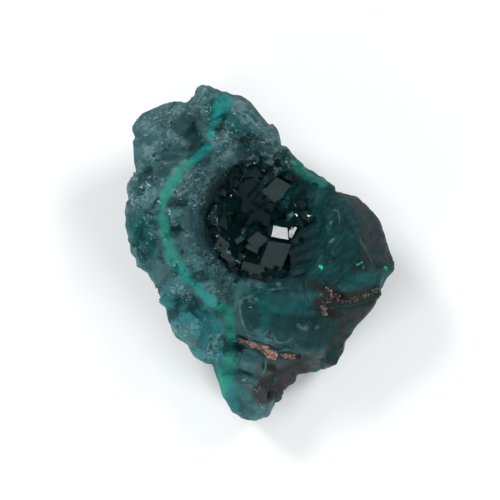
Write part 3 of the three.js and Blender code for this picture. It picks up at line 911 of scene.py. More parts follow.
@dataclass(frozen=True)
class FlakeFinish:
    """Bright splinters, some of them dulled."""

    base: Colour = (0.040, 0.120, 0.130)
    tints: FaceTints = FaceTints()

    def make(self) -> bpy.types.Material:
        """Builds the material.

        Returns:
            The material.
        """
        bench = Bench("cleavage_flakes")
        place = bench.place()
        tone, fine = bench.mark("tone"), bench.cloud(place, 0.4, 2)
        colour = bench.mix(self.base, tuple(0.6 * part for part in self.base), fine)
        colour = self.tints.over(bench, colour, place, bench.warped(place, 2.2, 0.7))
        return bench.finish(
            {
                "Base Color": colour,
                "Roughness": 0.28 + 0.4 * tone,
                "IOR": DIOPTASE_IOR,
                "Specular Tint": GLOSS,
            }
        )


@dataclass(frozen=True)
class DruseFinish:
    """Small translucent crystals, each a little lighter or darker."""

    dark: Colour = (0.016, 0.075, 0.078)
    light: Colour = (0.056, 0.090, 0.093)
    tints: FaceTints = FaceTints()

    def make(self) -> bpy.types.Material:
        """Builds the material.

        Returns:
            The material.
        """
        bench = Bench("wall_druse")
        place = bench.place()
        loose = bench.warped(place, 2.2, 0.7)
        tone, fine = bench.mark("tone"), bench.cloud(place, 1.6, 2)
        colour = bench.mix(self.dark, self.light, (tone * 0.7 + fine * 0.7).between(0.3, 1.2))
        colour = self.tints.over(bench, colour, place, loose)
        return bench.finish(
            {
                "Base Color": colour,
                "Roughness": 0.22 + 0.32 * tone,
                "IOR": DIOPTASE_IOR,
                "Specular Tint": GLOSS,
                "Subsurface Weight": 0.1,
                "Subsurface Radius": (0.3, 1.0, 0.9),
                "Subsurface Scale": 0.6 * MM,
            }
        )


@dataclass(frozen=True)
class FloorFinish:
    """A plain pale table top."""

    colour: Colour = (0.93, 0.93, 0.93)

    def make(self) -> bpy.types.Material:
        """Builds the material.

        Returns:
            The material.
        """
        bench = Bench("pale_floor")
        shade = bench.cloud(bench.place(), 60, 2)
        colour = bench.mix(self.colour, tuple(0.99 * part for part in self.colour), shade)
        return bench.finish({"Base Color": colour, "Roughness": 0.9, "Specular IOR Level": 0.1})


# ---------------------------------------------------------------- lights


@dataclass(frozen=True)
class Lamp:
    """A soft light.

    Args:
        name: its name.
        way: from the specimen towards it, on the open face's axes.
        distance: how far it is, in millimetres.
        size: its sides, in millimetres.
        radiance: how bright its face is.
        colour: its colour.
    """

    name: str
    way: tuple[float, float, float]
    distance: float
    size: tuple[float, float]
    radiance: float
    colour: Colour = (1, 1, 1)

    def hang(self, target: Vector) -> None:
        """Hangs the light so that it faces a point.

        Args:
            target: the point, in metres.
        """
        data = bpy.data.lights.new(self.name, "AREA")
        data.shape = "RECTANGLE"
        data.size, data.size_y = (side * MM for side in self.size)
        data.energy = self.radiance * math.pi * data.size * data.size_y
        data.color = self.colour
        lamp = bpy.data.objects.new(self.name, data)
        way = FACE.aim(self.way)
        lamp.location = target + way * self.distance * MM
        lamp.rotation_euler = way.to_track_quat("Z", "Y").to_euler()
        bpy.context.scene.collection.objects.link(lamp)


SOFTBOXES = (
    Lamp("back_left_softbox", (-0.60, 0.60, 0.56), 500, (190, 190), 13.5),
    Lamp("back_right_softbox", (0.586, 0.527, 0.616), 500, (170, 170), 11.0),
    Lamp("front_right_softbox", (0.62, -0.48, 0.62), 500, (170, 170), 11.0),
    Lamp("front_left_softbox", (-0.615, -0.555, 0.56), 500, (170, 170), 13.5),
)
LAMPS = (
    *SOFTBOXES,
    Lamp("spark_card", (-0.163, -0.19, 0.968), 400, (46, 46), 9.5),
    Lamp("grey_card", (0.0, 0.0, 1.0), 640, (210, 210), 0.38, (0.82, 1.0, 1.0)),
)


# ---------------------------------------------------------------- surfaces


def turns(random: np.random.Generator, count: int, spread: float | None = None) -> np.ndarray:
    """Random rotations.

    Args:
        random: where the numbers come from.
        count: how many.
        spread: the angle that they keep to, in radians, or None for any turn.

    Returns:
        That many 3 by 3 matrices.
    """
    if spread is None:
        quaternions = random.normal(size=(count, 4))
    else:
        axis = random.normal(size=(count, 3))
        axis /= np.linalg.norm(axis, axis=1, keepdims=True)
        half = random.normal(size=count) * spread / 2
        quaternions = np.concatenate([np.cos(half)[:, None], axis * np.sin(half)[:, None]], axis=1)
    w, x, y, z = (quaternions / np.linalg.norm(quaternions, axis=1, keepdims=True)).T
    return np.stack(
        [
            1 - 2 * (y * y + z * z), 2 * (x * y - z * w), 2 * (x * z + y * w),
            2 * (x * y + z * w), 1 - 2 * (x * x + z * z), 2 * (y * z - x * w),
            2 * (x * z - y * w), 2 * (y * z + x * w), 1 - 2 * (x * x + y * y),
        ],
        axis=1,
    ).reshape(-1, 3, 3)


class Surface:
    """A closed surface in world millimetres that can be reworked point by point."""

    def __init__(self, nodes: Sequence[Node], voxel: float, passes: int) -> None:
        """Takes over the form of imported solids.

        Args:
            nodes: the solids, which become one.
            voxel: the size of the new faces.
            passes: how many times the directions are evened out.
        """
        joined = bmesh.new()
        for node in nodes:
            joined.from_mesh(node.mesh)
        mesh = bpy.data.meshes.new("joined")
        joined.to_mesh(mesh)
        joined.free()
        mesh.transform(Matrix.Scale(1 / MM, 4))
        solid = bpy.data.objects.new("solid", mesh)
        bpy.context.scene.collection.objects.link(solid)
        remesh = solid.modifiers.new("remesh", "REMESH")
        remesh.mode, remesh.voxel_size = "VOXEL", voxel
        fine = bpy.data.meshes.new_from_object(solid.evaluated_get(bpy.context.evaluated_depsgraph_get()))
        bpy.data.objects.remove(solid)
        self.points = self._read(fine.vertices, "co", 3)
        self.faces = np.array([tuple(face.vertices) for face in fine.polygons], int)
        self.edges = np.array([tuple(edge.vertices) for edge in fine.edges], int)
        self.ways = self._even(self._read(fine.vertices, "normal", 3), passes)
        bpy.data.meshes.remove(fine)

    @staticmethod
    def _read(items: Any, name: str, width: int) -> np.ndarray:
        """Reads a property of every item of a mesh.

        Args:
            items: the items, such as its vertices.
            name: the property.
            width: how many numbers it has.

        Returns:
            An array with one row for each item.
        """
        values = np.empty(len(items) * width, np.float32)
        items.foreach_get(name, values)
        return values.reshape(-1, width).astype(float)

    def _even(self, ways: np.ndarray, passes: int) -> np.ndarray:
        """Evens out the directions of the points.

        Args:
            ways: a unit direction for each point.
            passes: how many times each takes the mean of itself and its neighbours.

        Returns:
            The new unit directions.
        """
        for _ in range(passes):
            total = ways.copy()
            for axis in range(3):
                for here, there in (self.edges.T, self.edges.T[::-1]):
                    total[:, axis] += np.bincount(here, ways[there, axis], minlength=len(ways))
            ways = total / np.maximum(np.linalg.norm(total, axis=1, keepdims=True), 1e-9)
        return ways

    def seeds(self, spacing: float, random: np.random.Generator) -> np.ndarray:
        """One point of the surface in each cube of that size.

        Args:
            spacing: the size of the cubes.
            random: where the choice comes from.

        Returns:
            The numbers of the points.
        """
        order = random.permutation(len(self.points))
        cubes = np.floor(self.points[order] / spacing + random.uniform(0, 1, 3)).astype(int)
        first = np.unique(cubes, axis=0, return_index=True)[1]
        return order[np.sort(first)]

    def soften(self, share: np.ndarray, passes: int) -> None:
        """Evens the surface out.

        Args:
            share: how much of the way each point goes to the middle of its neighbours.
            passes: how many times.
        """
        ends = np.concatenate([self.edges[:, 0], self.edges[:, 1]])
        others = np.concatenate([self.edges[:, 1], self.edges[:, 0]])
        links = np.bincount(ends, minlength=len(self.points))
        for _ in range(passes):
            total = [np.bincount(ends, values, minlength=len(links)) for values in self.points[others].T]
            middle = np.stack(total, axis=1) / links[:, None]
            self.points = self.points + (middle - self.points) * share[:, None]

    def ahead(self) -> np.ndarray:
        """How squarely each point looks out of the open face, from -1 to 1."""
        return (self.ways @ FACE.turn)[:, 2]

    def tree(self) -> BVHTree:
        """Its faces, ready to be measured from."""
        return BVHTree.FromPolygons(self.points.tolist(), self.faces.tolist())

    def raise_by(self, heights: np.ndarray) -> None:
        """Moves each point out along its own direction."""
        self.points = self.points + self.ways * heights[:, None]

    def mesh(self, name: str, marks: dict[str, np.ndarray]) -> bpy.types.Mesh:
        """A Blender mesh of the surface, in metres, with values on its points.

        Args:
            name: the mesh's name.
            marks: the values, by name.

        Returns:
            The mesh.
        """
        mesh = bpy.data.meshes.new(name)
        mesh.from_pydata((self.points * MM).tolist(), [], self.faces.tolist())
        for key, values in marks.items():
            mesh.attributes.new(key, "FLOAT", "POINT").data.foreach_set("value", values.astype(np.float32))
        mesh.shade_smooth()
        mesh.update()
        return mesh


@dataclass(frozen=True)
class Blocks:
    """Cleavage blocks that stand out of a surface, set close enough to meet.

    Args:
        spacing: from one block to the next.
        size: the shares of the spacing that half a block's side may be.
        sink: how far a block's middle lies under the surface, as a share of the spacing.
        domain: how far the same cleavage directions carry on.
        wander: how far a block turns from them, in radians.
        low, high: how far the surface may go in and out.
        seed: the seed of the random draws.
        near: how many blocks are tried at each point.
    """

    spacing: float
    size: tuple[float, float]
    sink: float
    domain: float
    wander: float
    low: float
    high: float
    seed: int
    near: int = 10

    def heights(self, surface: Surface) -> tuple[np.ndarray, np.ndarray]:
        """Finds the faces of the blocks over a surface.

        Args:
            surface: the surface.

        Returns:
            How far each point moves out to them, and a tone from 0 to 1 that is steady within each face.
        """
        random = np.random.default_rng(self.seed)
        middles = surface.seeds(self.spacing, random)
        count = len(middles)
        centres = surface.points[middles] - surface.ways[middles] * self.spacing * self.sink
        halves = self.spacing * random.uniform(*self.size, size=(count, 3))
        domains = surface.points[surface.seeds(self.domain, random)]
        turned = turns(random, len(domains))
        tree = self._tree(domains)
        nearest = np.array([tree.find(centre)[1] for centre in centres])
        frames = turned[nearest] @ turns(random, count, self.wander)
        tree = self._tree(centres)
        close = [[found[1] for found in tree.find_n(point, self.near)] for point in surface.points]
        close = np.array(close)
        best = np.full(len(surface.points), self.low)
        tones = random.random(6 * count)
        owner = np.zeros(len(surface.points), int)
        for k in range(self.near):
            block = close[:, k]
            away = np.einsum("nij,ni->nj", frames[block], surface.points - centres[block])
            way = np.einsum("nij,ni->nj", frames[block], surface.ways)
            pace = np.maximum(np.abs(way), 1e-6)
            middle = -np.sign(way) * away / pace
            leaves = middle + halves[block] / pace
            axis = np.argmin(leaves, axis=1)
            leave = np.min(leaves, axis=1)
            enter = np.max(middle - halves[block] / pace, axis=1)
            higher = (enter < leave) & (leave > best)
            side = np.take_along_axis(way, axis[:, None], axis=1)[:, 0] > 0
            owner = np.where(higher, 6 * block + 2 * axis + side, owner)
            best = np.where(higher, leave, best)
        best = np.clip(best, self.low, self.high)
        return best - best.mean(), tones[owner]

    @staticmethod
    def _tree(points: np.ndarray) -> KDTree:
        """Makes a tree that finds the nearest of some points.

        Args:
            points: the points.

        Returns:
            The tree.
        """
        tree = KDTree(len(points))
        for index, point in enumerate(points):
            tree.insert(point, index)
        tree.balance()
        return tree


def show(name: str, mesh: bpy.types.Mesh, finish: bpy.types.Material) -> bpy.types.Object:
    """Puts a mesh in the scene as a piece of the specimen.

    Args:
        name: the piece's name.
        mesh: its mesh, in metres.
        finish: its material.

    Returns:
        The piece.
    """
    mesh.materials.append(finish)
    piece = bpy.data.objects.new(name, mesh)
    bpy.context.scene.collection.objects.link(piece)
    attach(piece, "root")
    return piece


# ---------------------------------------------------------------- the pieces


@dataclass(frozen=True)
class Refit:
    """A stretch of the specimen that stands further out, or in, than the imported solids.

    Args:
        band: where.
        out: how far it moves away from the middle of the face.
        lift: how far it moves towards the viewer.
    """

    band: Band
    out: float
    lift: float = 0


REFITS = (
    Refit(Band(((-21.8, 15), (-21.8, 18)), 1.0, 1.8), 0.9),
    Refit(Band(((-9, 29.8), (-6.5, 28.8)), 0.8, 1.4), 0.55),
    Refit(Band(((4.6, 21), (3.4, 22.4)), 0.6, 1.2), 0.5),
    Refit(Band(((7.6, 17.2),), 0.8, 1.4), -0.5),
    Refit(Band(((16.4, 11.4),), 1.2, 1.6), -0.5),
    Refit(Band(((23.3, -5.2), (22.9, -6.8)), 0.7, 1.6), -0.8),
    Refit(Band(((9.9, -21.5),), 0.5, 1.0), -0.45),
    Refit(Band(((-5.8, -15.6), (-5.2, -18.2)), 0.8, 1.9), 0, 1.7),
    Refit(Band(((22.6, -11), (20.4, -13.8), (18.2, -16)), 1.4, 2.4), -0.7),
    Refit(Band(((14.2, -19.4), (14.8, -17.8)), 0.7, 1.3), 0.5),
    Refit(Band(((6.7, -23.8),), 0.4, 0.9), 0.5),
    Refit(Band(((3.2, -27.6), (4.0, -26.6)), 0.7, 1.6), -0.8),
    Refit(Band(((-2.2, -30.8), (1.4, -29.8)), 0.6, 1.4), 0.8),
    Refit(Band(((-4.9, -28.2),), 0.6, 1.4), -0.5),
    Refit(Band(((-17.2, -9.6),), 0.6, 1.6), -0.4),
    Refit(Band(((-7.8, -21),), 0.3, 1.0), -0.3),
    Refit(Band(((-18.6, -6.8), (-17.9, -8.2)), 0.6, 2.4), 0.9),
    Refit(Band(((-21.2, -3.2),), 0.5, 1.5), 0.5),
    Refit(Band(((-23.4, 0.6),), 0.8, 1.4), 0.4),
    Refit(Band(((-23.8, 11.6),), 0.6, 1.4), 0.5),
    Refit(Band(((-11.9, 27.4),), 0.6, 1.4), -0.5),
    Refit(Band(((0.4, 23.6), (1.8, 23.2)), 0.4, 1.2), -0.55),
    Refit(Band(((5.9, 17.8),), 0.6, 1.5), 0.65),
    Refit(Band(((12.4, 12.6), (13.4, 11.7)), 0.4, 1.3), 0.6),
    Refit(Band(((-23.2, 7.6),), 0.6, 1.4), 0.5),
    Refit(Band(((-19, 4.6), (-16.8, 4.2)), 0.8, 2.2), 0, 1.9),
    Refit(Band(((-19.6, 0.6), (-18.4, -0.6)), 0.6, 1.8), 0, 0.8),
)


def refit(surface: Surface, share: np.ndarray | float = 1) -> None:
    """Moves a surface by the stretches of REFITS.

    Args:
        surface: the surface.
        share: how much of the way each of its points goes.
    """
    places = FACE.to_face(surface.points)
    away = places[:, :2] / np.linalg.norm(places[:, :2], axis=1, keepdims=True).clip(1)
    moves = np.zeros_like(places)
    for fit in REFITS:
        mask = fit.band.mask(places) * share
        moves += mask[:, None] * np.column_stack([fit.out * away, np.full(len(places), fit.lift)])
    surface.points = surface.points + moves @ FACE.turn.T


def tinted(
    places: np.ndarray, facing: np.ndarray | float = 1, low: float = -3.6, fade: float = 3
) -> dict[str, np.ndarray]:
    """The marks of the open face at each place.

    Args:
        places: points on the open face's axes.
        facing: how much of the open face's look each of them takes.
        low: the height at which the marks end, down the flanks.
        fade: how far above it they begin to fade out.

    Returns:
        The marks, by name.
    """
    shown = facing * smooth_step((places[:, 2] - low) / fade)
    return {name: masks(bands, places) * shown for name, bands in TINTS.items()}


@dataclass
class Whole:
    """The outside of dioptase and rock together, without the cleft between them.

    Args:
        voxel: the size of its faces, in millimetres.
        softening: how many times it is evened out.
        near: how near the other solid has to be for a surface to be moved.
        reach: how far a surface may be moved.
        tree: the outside, ready to be measured from.
        solids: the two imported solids, likewise.
    """

    voxel: float = 0.36
    softening: int = 18
    near: float = 1.3
    reach: float = 1.1
    tree: BVHTree = field(init=False)
    solids: dict[Node, BVHTree] = field(init=False)

    def __post_init__(self) -> None:
        """Joins the two solids."""
        outside = Surface((Node.MASS, Node.ROCK), self.voxel, 0)
        outside.soften(0.3 + 0.45 * masks(CALM, FACE.to_face(outside.points)), self.softening)
        self.tree = outside.tree()
        self.solids = {}
        for node in (Node.MASS, Node.ROCK):
            corners = [vert.co / MM for vert in node.mesh.vertices]
            faces = [tuple(face.vertices) for face in node.mesh.polygons]
            self.solids[node] = BVHTree.FromPolygons(corners, faces)

    def settle(self, surface: Surface, neighbour: Node, sink: float) -> np.ndarray:
        """Moves a surface out to the common outside where the other solid is near.

        Args:
            surface: the surface.
            neighbour: the other solid.
            sink: how far it stays under the common outside.

        Returns:
            How near the other solid is to each point, from 0 to 1.
        """
        solid, far = self.solids[neighbour], 2 * self.near
        apart = [solid.find_nearest(Vector(point), far)[3] for point in surface.points]
        apart = np.array([far if gap is None else gap for gap in apart])
        near = smooth_step((self.near - apart) / (0.7 * self.near))
        for index in np.flatnonzero(near > 0):
            spot, normal, _, gap = self.tree.find_nearest(Vector(surface.points[index]), self.reach)
            if spot is not None:
                goal = np.array(spot - normal * sink)
                surface.points[index] += (goal - surface.points[index]) * near[index]
        return near


def near_bed(places: np.ndarray, level: float = -5.6, reach: float = 3.6) -> np.ndarray:
    """How near each place is to the level where dioptase meets rock, from 0 to 1."""
    return smooth_step(1 - np.abs(places[:, 2] - level) / reach)


@dataclass
class BrokenMass:
    """The broken mass of dioptase round the hollow. Its lengths are in millimetres.

    Args:
        voxel: the size of its faces.
        evening: how many times the directions of its points are evened out.
        softening: how many times its smooth places are evened out.
        swell: how far all of it is raised.
        close: how much more it is raised beside the rock.
        coarse, fine: the cleavage blocks that break it up.
        hollow_middle: the middle of the hollow, on the axes of the open face.
        hollow_reach: how far from there its wall may be.
        hollow_top: the height at which its wall ends.
        surface: its surface, once it is built.
        marks: the values on its points, once it is built.
    """

    voxel: float = 0.36
    evening: int = 4
    softening: int = 16
    swell: float = 0.1
    close: float = 0.1
    coarse: Blocks = Blocks(4.4, (0.42, 0.78), 0.36, 10.0, 0.12, -0.42, 0.42, 11)
    fine: Blocks = Blocks(1.7, (0.4, 0.7), 0.38, 6.0, 0.25, -0.18, 0.18, 12)
    hollow_middle: tuple[float, float, float] = (0.9, 5.6, 8.6)
    hollow_reach: float = 11.6
    hollow_top: float = 4.2
    surface: Surface = field(init=False)
    marks: dict[str, np.ndarray] = field(init=False)

    def build(self, whole: Whole) -> bpy.types.Object:
        """Builds and dresses the mass.

        Args:
            whole: the common outside of dioptase and rock.

        Returns:
            The piece.
        """
        surface = Surface((Node.MASS,), self.voxel, self.evening)
        places = FACE.to_face(surface.points)
        hollow = self._hollow(places, surface)
        near = whole.settle(surface, Node.ROCK, 0)
        share = (0.14 + 0.78 * masks(CALM, places) + 0.8 * masks(FILLED, places)).clip(0, 0.9)
        surface.soften(share * (1 - hollow) * (1 - near), self.softening)
        surface.soften(0.75 * masks(EASED, places) * (1 - hollow) * (1 - near), 2 * self.softening)
        facet, crease_shade = self._break_up(surface, places, hollow, near)
        refit(surface, 1 - hollow)
        self.surface = surface
        places = FACE.to_face(surface.points)
        facing = smooth_step((surface.ahead() + 0.1) / 0.4)
        self.marks = tinted(places, np.maximum(facing, hollow))
        self.marks |= {"hollow": hollow, "foot": near_bed(places), "near": near}
        self.marks |= {"facet": facet, "crease_shade": crease_shade}
        mesh = surface.mesh("dioptase_mass_broken", self.marks)
        piece = show("dioptase_mass_broken", mesh, MassiveFinish().make())
        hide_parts(Node.MASS.value)
        return piece

    def _break_up(
        self, surface: Surface, places: np.ndarray, hollow: np.ndarray, near: np.ndarray
    ) -> tuple[np.ndarray, np.ndarray]:
        """Raises the cleavage blocks on the surface, less where it is calm, in painted shade or beside the
        rock.

        Args:
            surface: the surface.
            places: its points, on the axes of the open face.
            hollow: how much each point is part of the hollow's wall.
            near: how near the rock is to each point.

        Returns:
            The tone of the block at each point, and how deep the point lies sunk between blocks, where
            painted shade goes.
        """
        keep, settled = 1 - hollow, 1 - 0.85 * near
        calm, dusk = masks(CALM, places), masks(DEEP_SHADE, places)
        busy = np.maximum(masks(WALL, places), masks(SUGAR, places))
        heights, facet = self.coarse.heights(surface)
        surface.raise_by(self.swell + self.close * near + settled * keep * (1 - 0.85 * calm) * heights)
        chips = self.fine.heights(surface)[0]
        surface.raise_by(settled * keep * (1 - 0.8 * calm) * (1 - 0.5 * dusk) * (0.4 + 0.7 * busy) * chips)
        return facet, smooth_step((-0.04 - heights) / 0.2) * keep

    def _hollow(self, places: np.ndarray, surface: Surface) -> np.ndarray:
        """Finds the wall behind the crystals.

        Args:
            places: the points of the surface, on the axes of the open face.
            surface: the surface.

        Returns:
            How much each point is part of that wall, from 0 to 1.
        """
        inward = np.array(self.hollow_middle) - places
        distance = np.linalg.norm(inward, axis=1)
        ways = surface.ways @ FACE.turn
        facing = np.einsum("ij,ij->i", inward / distance[:, None], ways)
        within = smooth_step((self.hollow_reach + 1 - distance) / 1.2)
        under = smooth_step((self.hollow_top - places[:, 2]) / 1.6)
        return within * under * smooth_step((facing - 0.1) / 0.3)


@dataclass
class RockBack:
    """The rock that the dioptase grew on. Its lengths are in millimetres.

    Args:
        voxel: the size of its faces.
        evening: how many times the directions of its points are evened out.
        softening: how many times it is evened out.
        swell: how far all of it is raised.
        sink: how far it stays under the dioptase where they meet.
        lumps, crumbs: the blocks that break it up.
        surface: its surface, once it is built.
    """

    voxel: float = 0.42
    evening: int = 2
    softening: int = 12
    swell: float = 0.14
    sink: float = 0.04
    lumps: Blocks = Blocks(3.0, (0.38, 0.7), 0.36, 5.0, 0.4, -0.45, 0.4, 31)
    crumbs: Blocks = Blocks(1.1, (0.36, 0.6), 0.36, 3.0, 0.8, -0.16, 0.12, 32)
    surface: Surface = field(init=False)

    def build(self, whole: Whole) -> bpy.types.Object:
        """Builds and dresses the rock.

        Args:
            whole: the common outside of dioptase and rock.

        Returns:
            The piece.
        """
        surface = Surface((Node.ROCK,), self.voxel, self.evening)
        places = FACE.to_face(surface.points)
        smooth = masks((*SKIN, *ASH, *BARK), places)
        near = whole.settle(surface, Node.MASS, self.sink)
        surface.soften((0.2 + 0.55 * smooth) * (1 - near), self.softening)
        surface.soften(0.6 * masks(WORN, places), 3 * self.softening)
        settled = 1 - 0.9 * near
        surface.raise_by(self.swell + settled * (1 - 0.7 * smooth) * self.lumps.heights(surface)[0])
        surface.raise_by(settled * (1 - 0.6 * smooth) * self.crumbs.heights(surface)[0])
        refit(surface)
        surface.points[:, 2] = np.maximum(surface.points[:, 2], 0)
        self.surface = surface
        places = FACE.to_face(surface.points)
        ahead = surface.ahead()
        marks = tinted(places, smooth_step((ahead + 0.1) / 0.4))
        marks |= {"foot": near_bed(places), "front": smooth_step((ahead - 0.05) / 0.5), "near": near}
        mesh = surface.mesh("host_rock_broken", marks)
        piece = show("host_rock_broken", mesh, RockFinish().make())
        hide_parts(Node.ROCK.value)
        return piece


def crystal(radius: float, length: float, slope: float = RHOMB_SLOPE) -> tuple[np.ndarray, list[list[int]]]:
    """A six-sided prism that ends in three rhombs.

    Args:
        radius: from its axis to an edge.
        length: from its foot to its tip.
        slope: how steeply the rhombs fall away from the tip.

    Returns:
        Its corners and its faces.
    """
    angles = np.arange(6) * math.pi / 3
    ring = radius * np.stack([np.cos(angles), np.sin(angles)], axis=1)
    fall = slope * radius * np.where(np.arange(6) % 2, 0.5, 1)
    foot = np.column_stack([ring, np.zeros(6)])
    shoulder = np.column_stack([ring, length - fall])
    corners = np.vstack([foot, shoulder, [[0, 0, length]]])
    sides = [[k, (k + 1) % 6, 6 + (k + 1) % 6, 6 + k] for k in range(6)]
    tips = [[12, 6 + (k - 1) % 6, 6 + k, 6 + (k + 1) % 6] for k in (0, 2, 4)]
    return corners, [*sides, *tips, [5, 4, 3, 2, 1, 0]]


def upright(way: Sequence[float], spin: float) -> np.ndarray:
    """The rotation that stands a crystal along a direction, turned about its axis."""
    turn = Vector((0, 0, 1)).rotation_difference(Vector(way)).to_matrix() @ Matrix.Rotation(spin, 3, "Z")
    return np.array(turn)


def flashes(way: Sequence[float], spin: float, margin: float = 0.16, lamp_reach: float = 0.17) -> bool:
    """Whether a crystal's face mirrors a lamp out of the hollow.

    Args:
        way: where the crystal points.
        spin: its turn about its axis.
        margin: how near a miss may be, in radians.
        lamp_reach: from the middle of a lamp to its rim, in radians.

    Returns:
        True where it does.
    """
    view = np.array(FACE.out)
    angles = np.arange(6) * math.pi / 3
    sides = np.column_stack([np.cos(angles + math.pi / 6), np.sin(angles + math.pi / 6), np.zeros(6)])
    slants = RHOMB_SLOPE * np.column_stack([np.cos(angles[::2]), np.sin(angles[::2])])
    tips = np.column_stack([slants, np.ones(3)])
    normals = np.vstack([sides, tips / np.linalg.norm(tips, axis=1, keepdims=True)]) @ upright(way, spin).T
    mirrored = 2 * (normals @ view)[:, None] * normals - view
    lamps = np.array([FACE.aim(lamp.way) for lamp in LAMPS])
    return bool((mirrored @ lamps.T > math.cos(margin + lamp_reach)).any())


@dataclass
class Cluster:
    """Crystals gathered into one mesh, in world millimetres."""

    points: list[list[float]] = field(default_factory=list)
    faces: list[list[int]] = field(default_factory=list)
    tones: list[float] = field(default_factory=list)

    def add(self, corners: np.ndarray, faces: Sequence[Sequence[int]], tone: float = 0.5) -> None:
        """Adds one crystal.

        Args:
            corners: its corners.
            faces: its faces.
            tone: how light it is.
        """
        start = len(self.points)
        self.faces += [[index + start for index in face] for face in faces]
        self.points += np.asarray(corners).tolist()
        self.tones += [tone] * len(corners)

    def stand(
        self, foot: np.ndarray, way: np.ndarray, radius: float, length: float, spin: float, tone: float
    ) -> None:
        """Adds a crystal that stands on a point.

        Args:
            foot: where its foot is.
            way: where it points.
            radius, length: its size.
            spin: its turn about its axis.
            tone: how light it is.
        """
        corners, faces = crystal(radius, length)
        self.add(corners @ upright(way, spin).T + foot, faces, tone)

    def mesh(self, name: str, marks: dict[str, np.ndarray] | None = None) -> bpy.types.Mesh:
        """A Blender mesh of them, in metres, with values on its points.

        Args:
            name: the mesh's name.
            marks: the values besides their tones, by name.

        Returns:
            The mesh.
        """
        mesh = bpy.data.meshes.new(name)
        mesh.from_pydata((np.array(self.points) * MM).tolist(), [], self.faces)
        for key, values in {"tone": np.array(self.tones), **(marks or {})}.items():
            mesh.attributes.new(key, "FLOAT", "POINT").data.foreach_set("value", values.astype(np.float32))
        mesh.update()
        return mesh


@dataclass(frozen=True)
class FlatCrystal:
    """A crystal of the hollow that lies with a prism face towards the viewer.

    Args:
        at: the middle of that face, on the open face's axes.
        width, length: the face's size.
        turn: the crystal's turn in the plane of the face, in degrees.
        slope: how the face leans to the right and up.
    """

    at: tuple[float, float, float]
    width: float
    length: float
    turn: float
    slope: tuple[float, float]

    def grow(self, cluster: Cluster) -> None:
        """Adds the crystal to the others.

        Args:
            cluster: the others.
        """
        tip = self.width * 0.3
        corners, faces = crystal(self.width, self.length + tip, BLUNT_SLOPE)
        corners = corners - np.array([0, 0, self.length / 2])
        flat = self.width * math.cos(math.pi / 6)
        lay = Matrix.Rotation(math.pi / 2, 3, "Y") @ Matrix.Rotation(math.pi / 6, 3, "Z")
        corners = corners @ np.array(lay).T - np.array([0, 0, flat])
        lean = Matrix.Rotation(self.slope[1], 3, "X") @ Matrix.Rotation(self.slope[0], 3, "Y")
        lean = lean @ Matrix.Rotation(math.radians(self.turn), 3, "Z")
        cluster.add(FACE.to_world(corners @ np.array(lean).T + np.array(self.at)), faces)


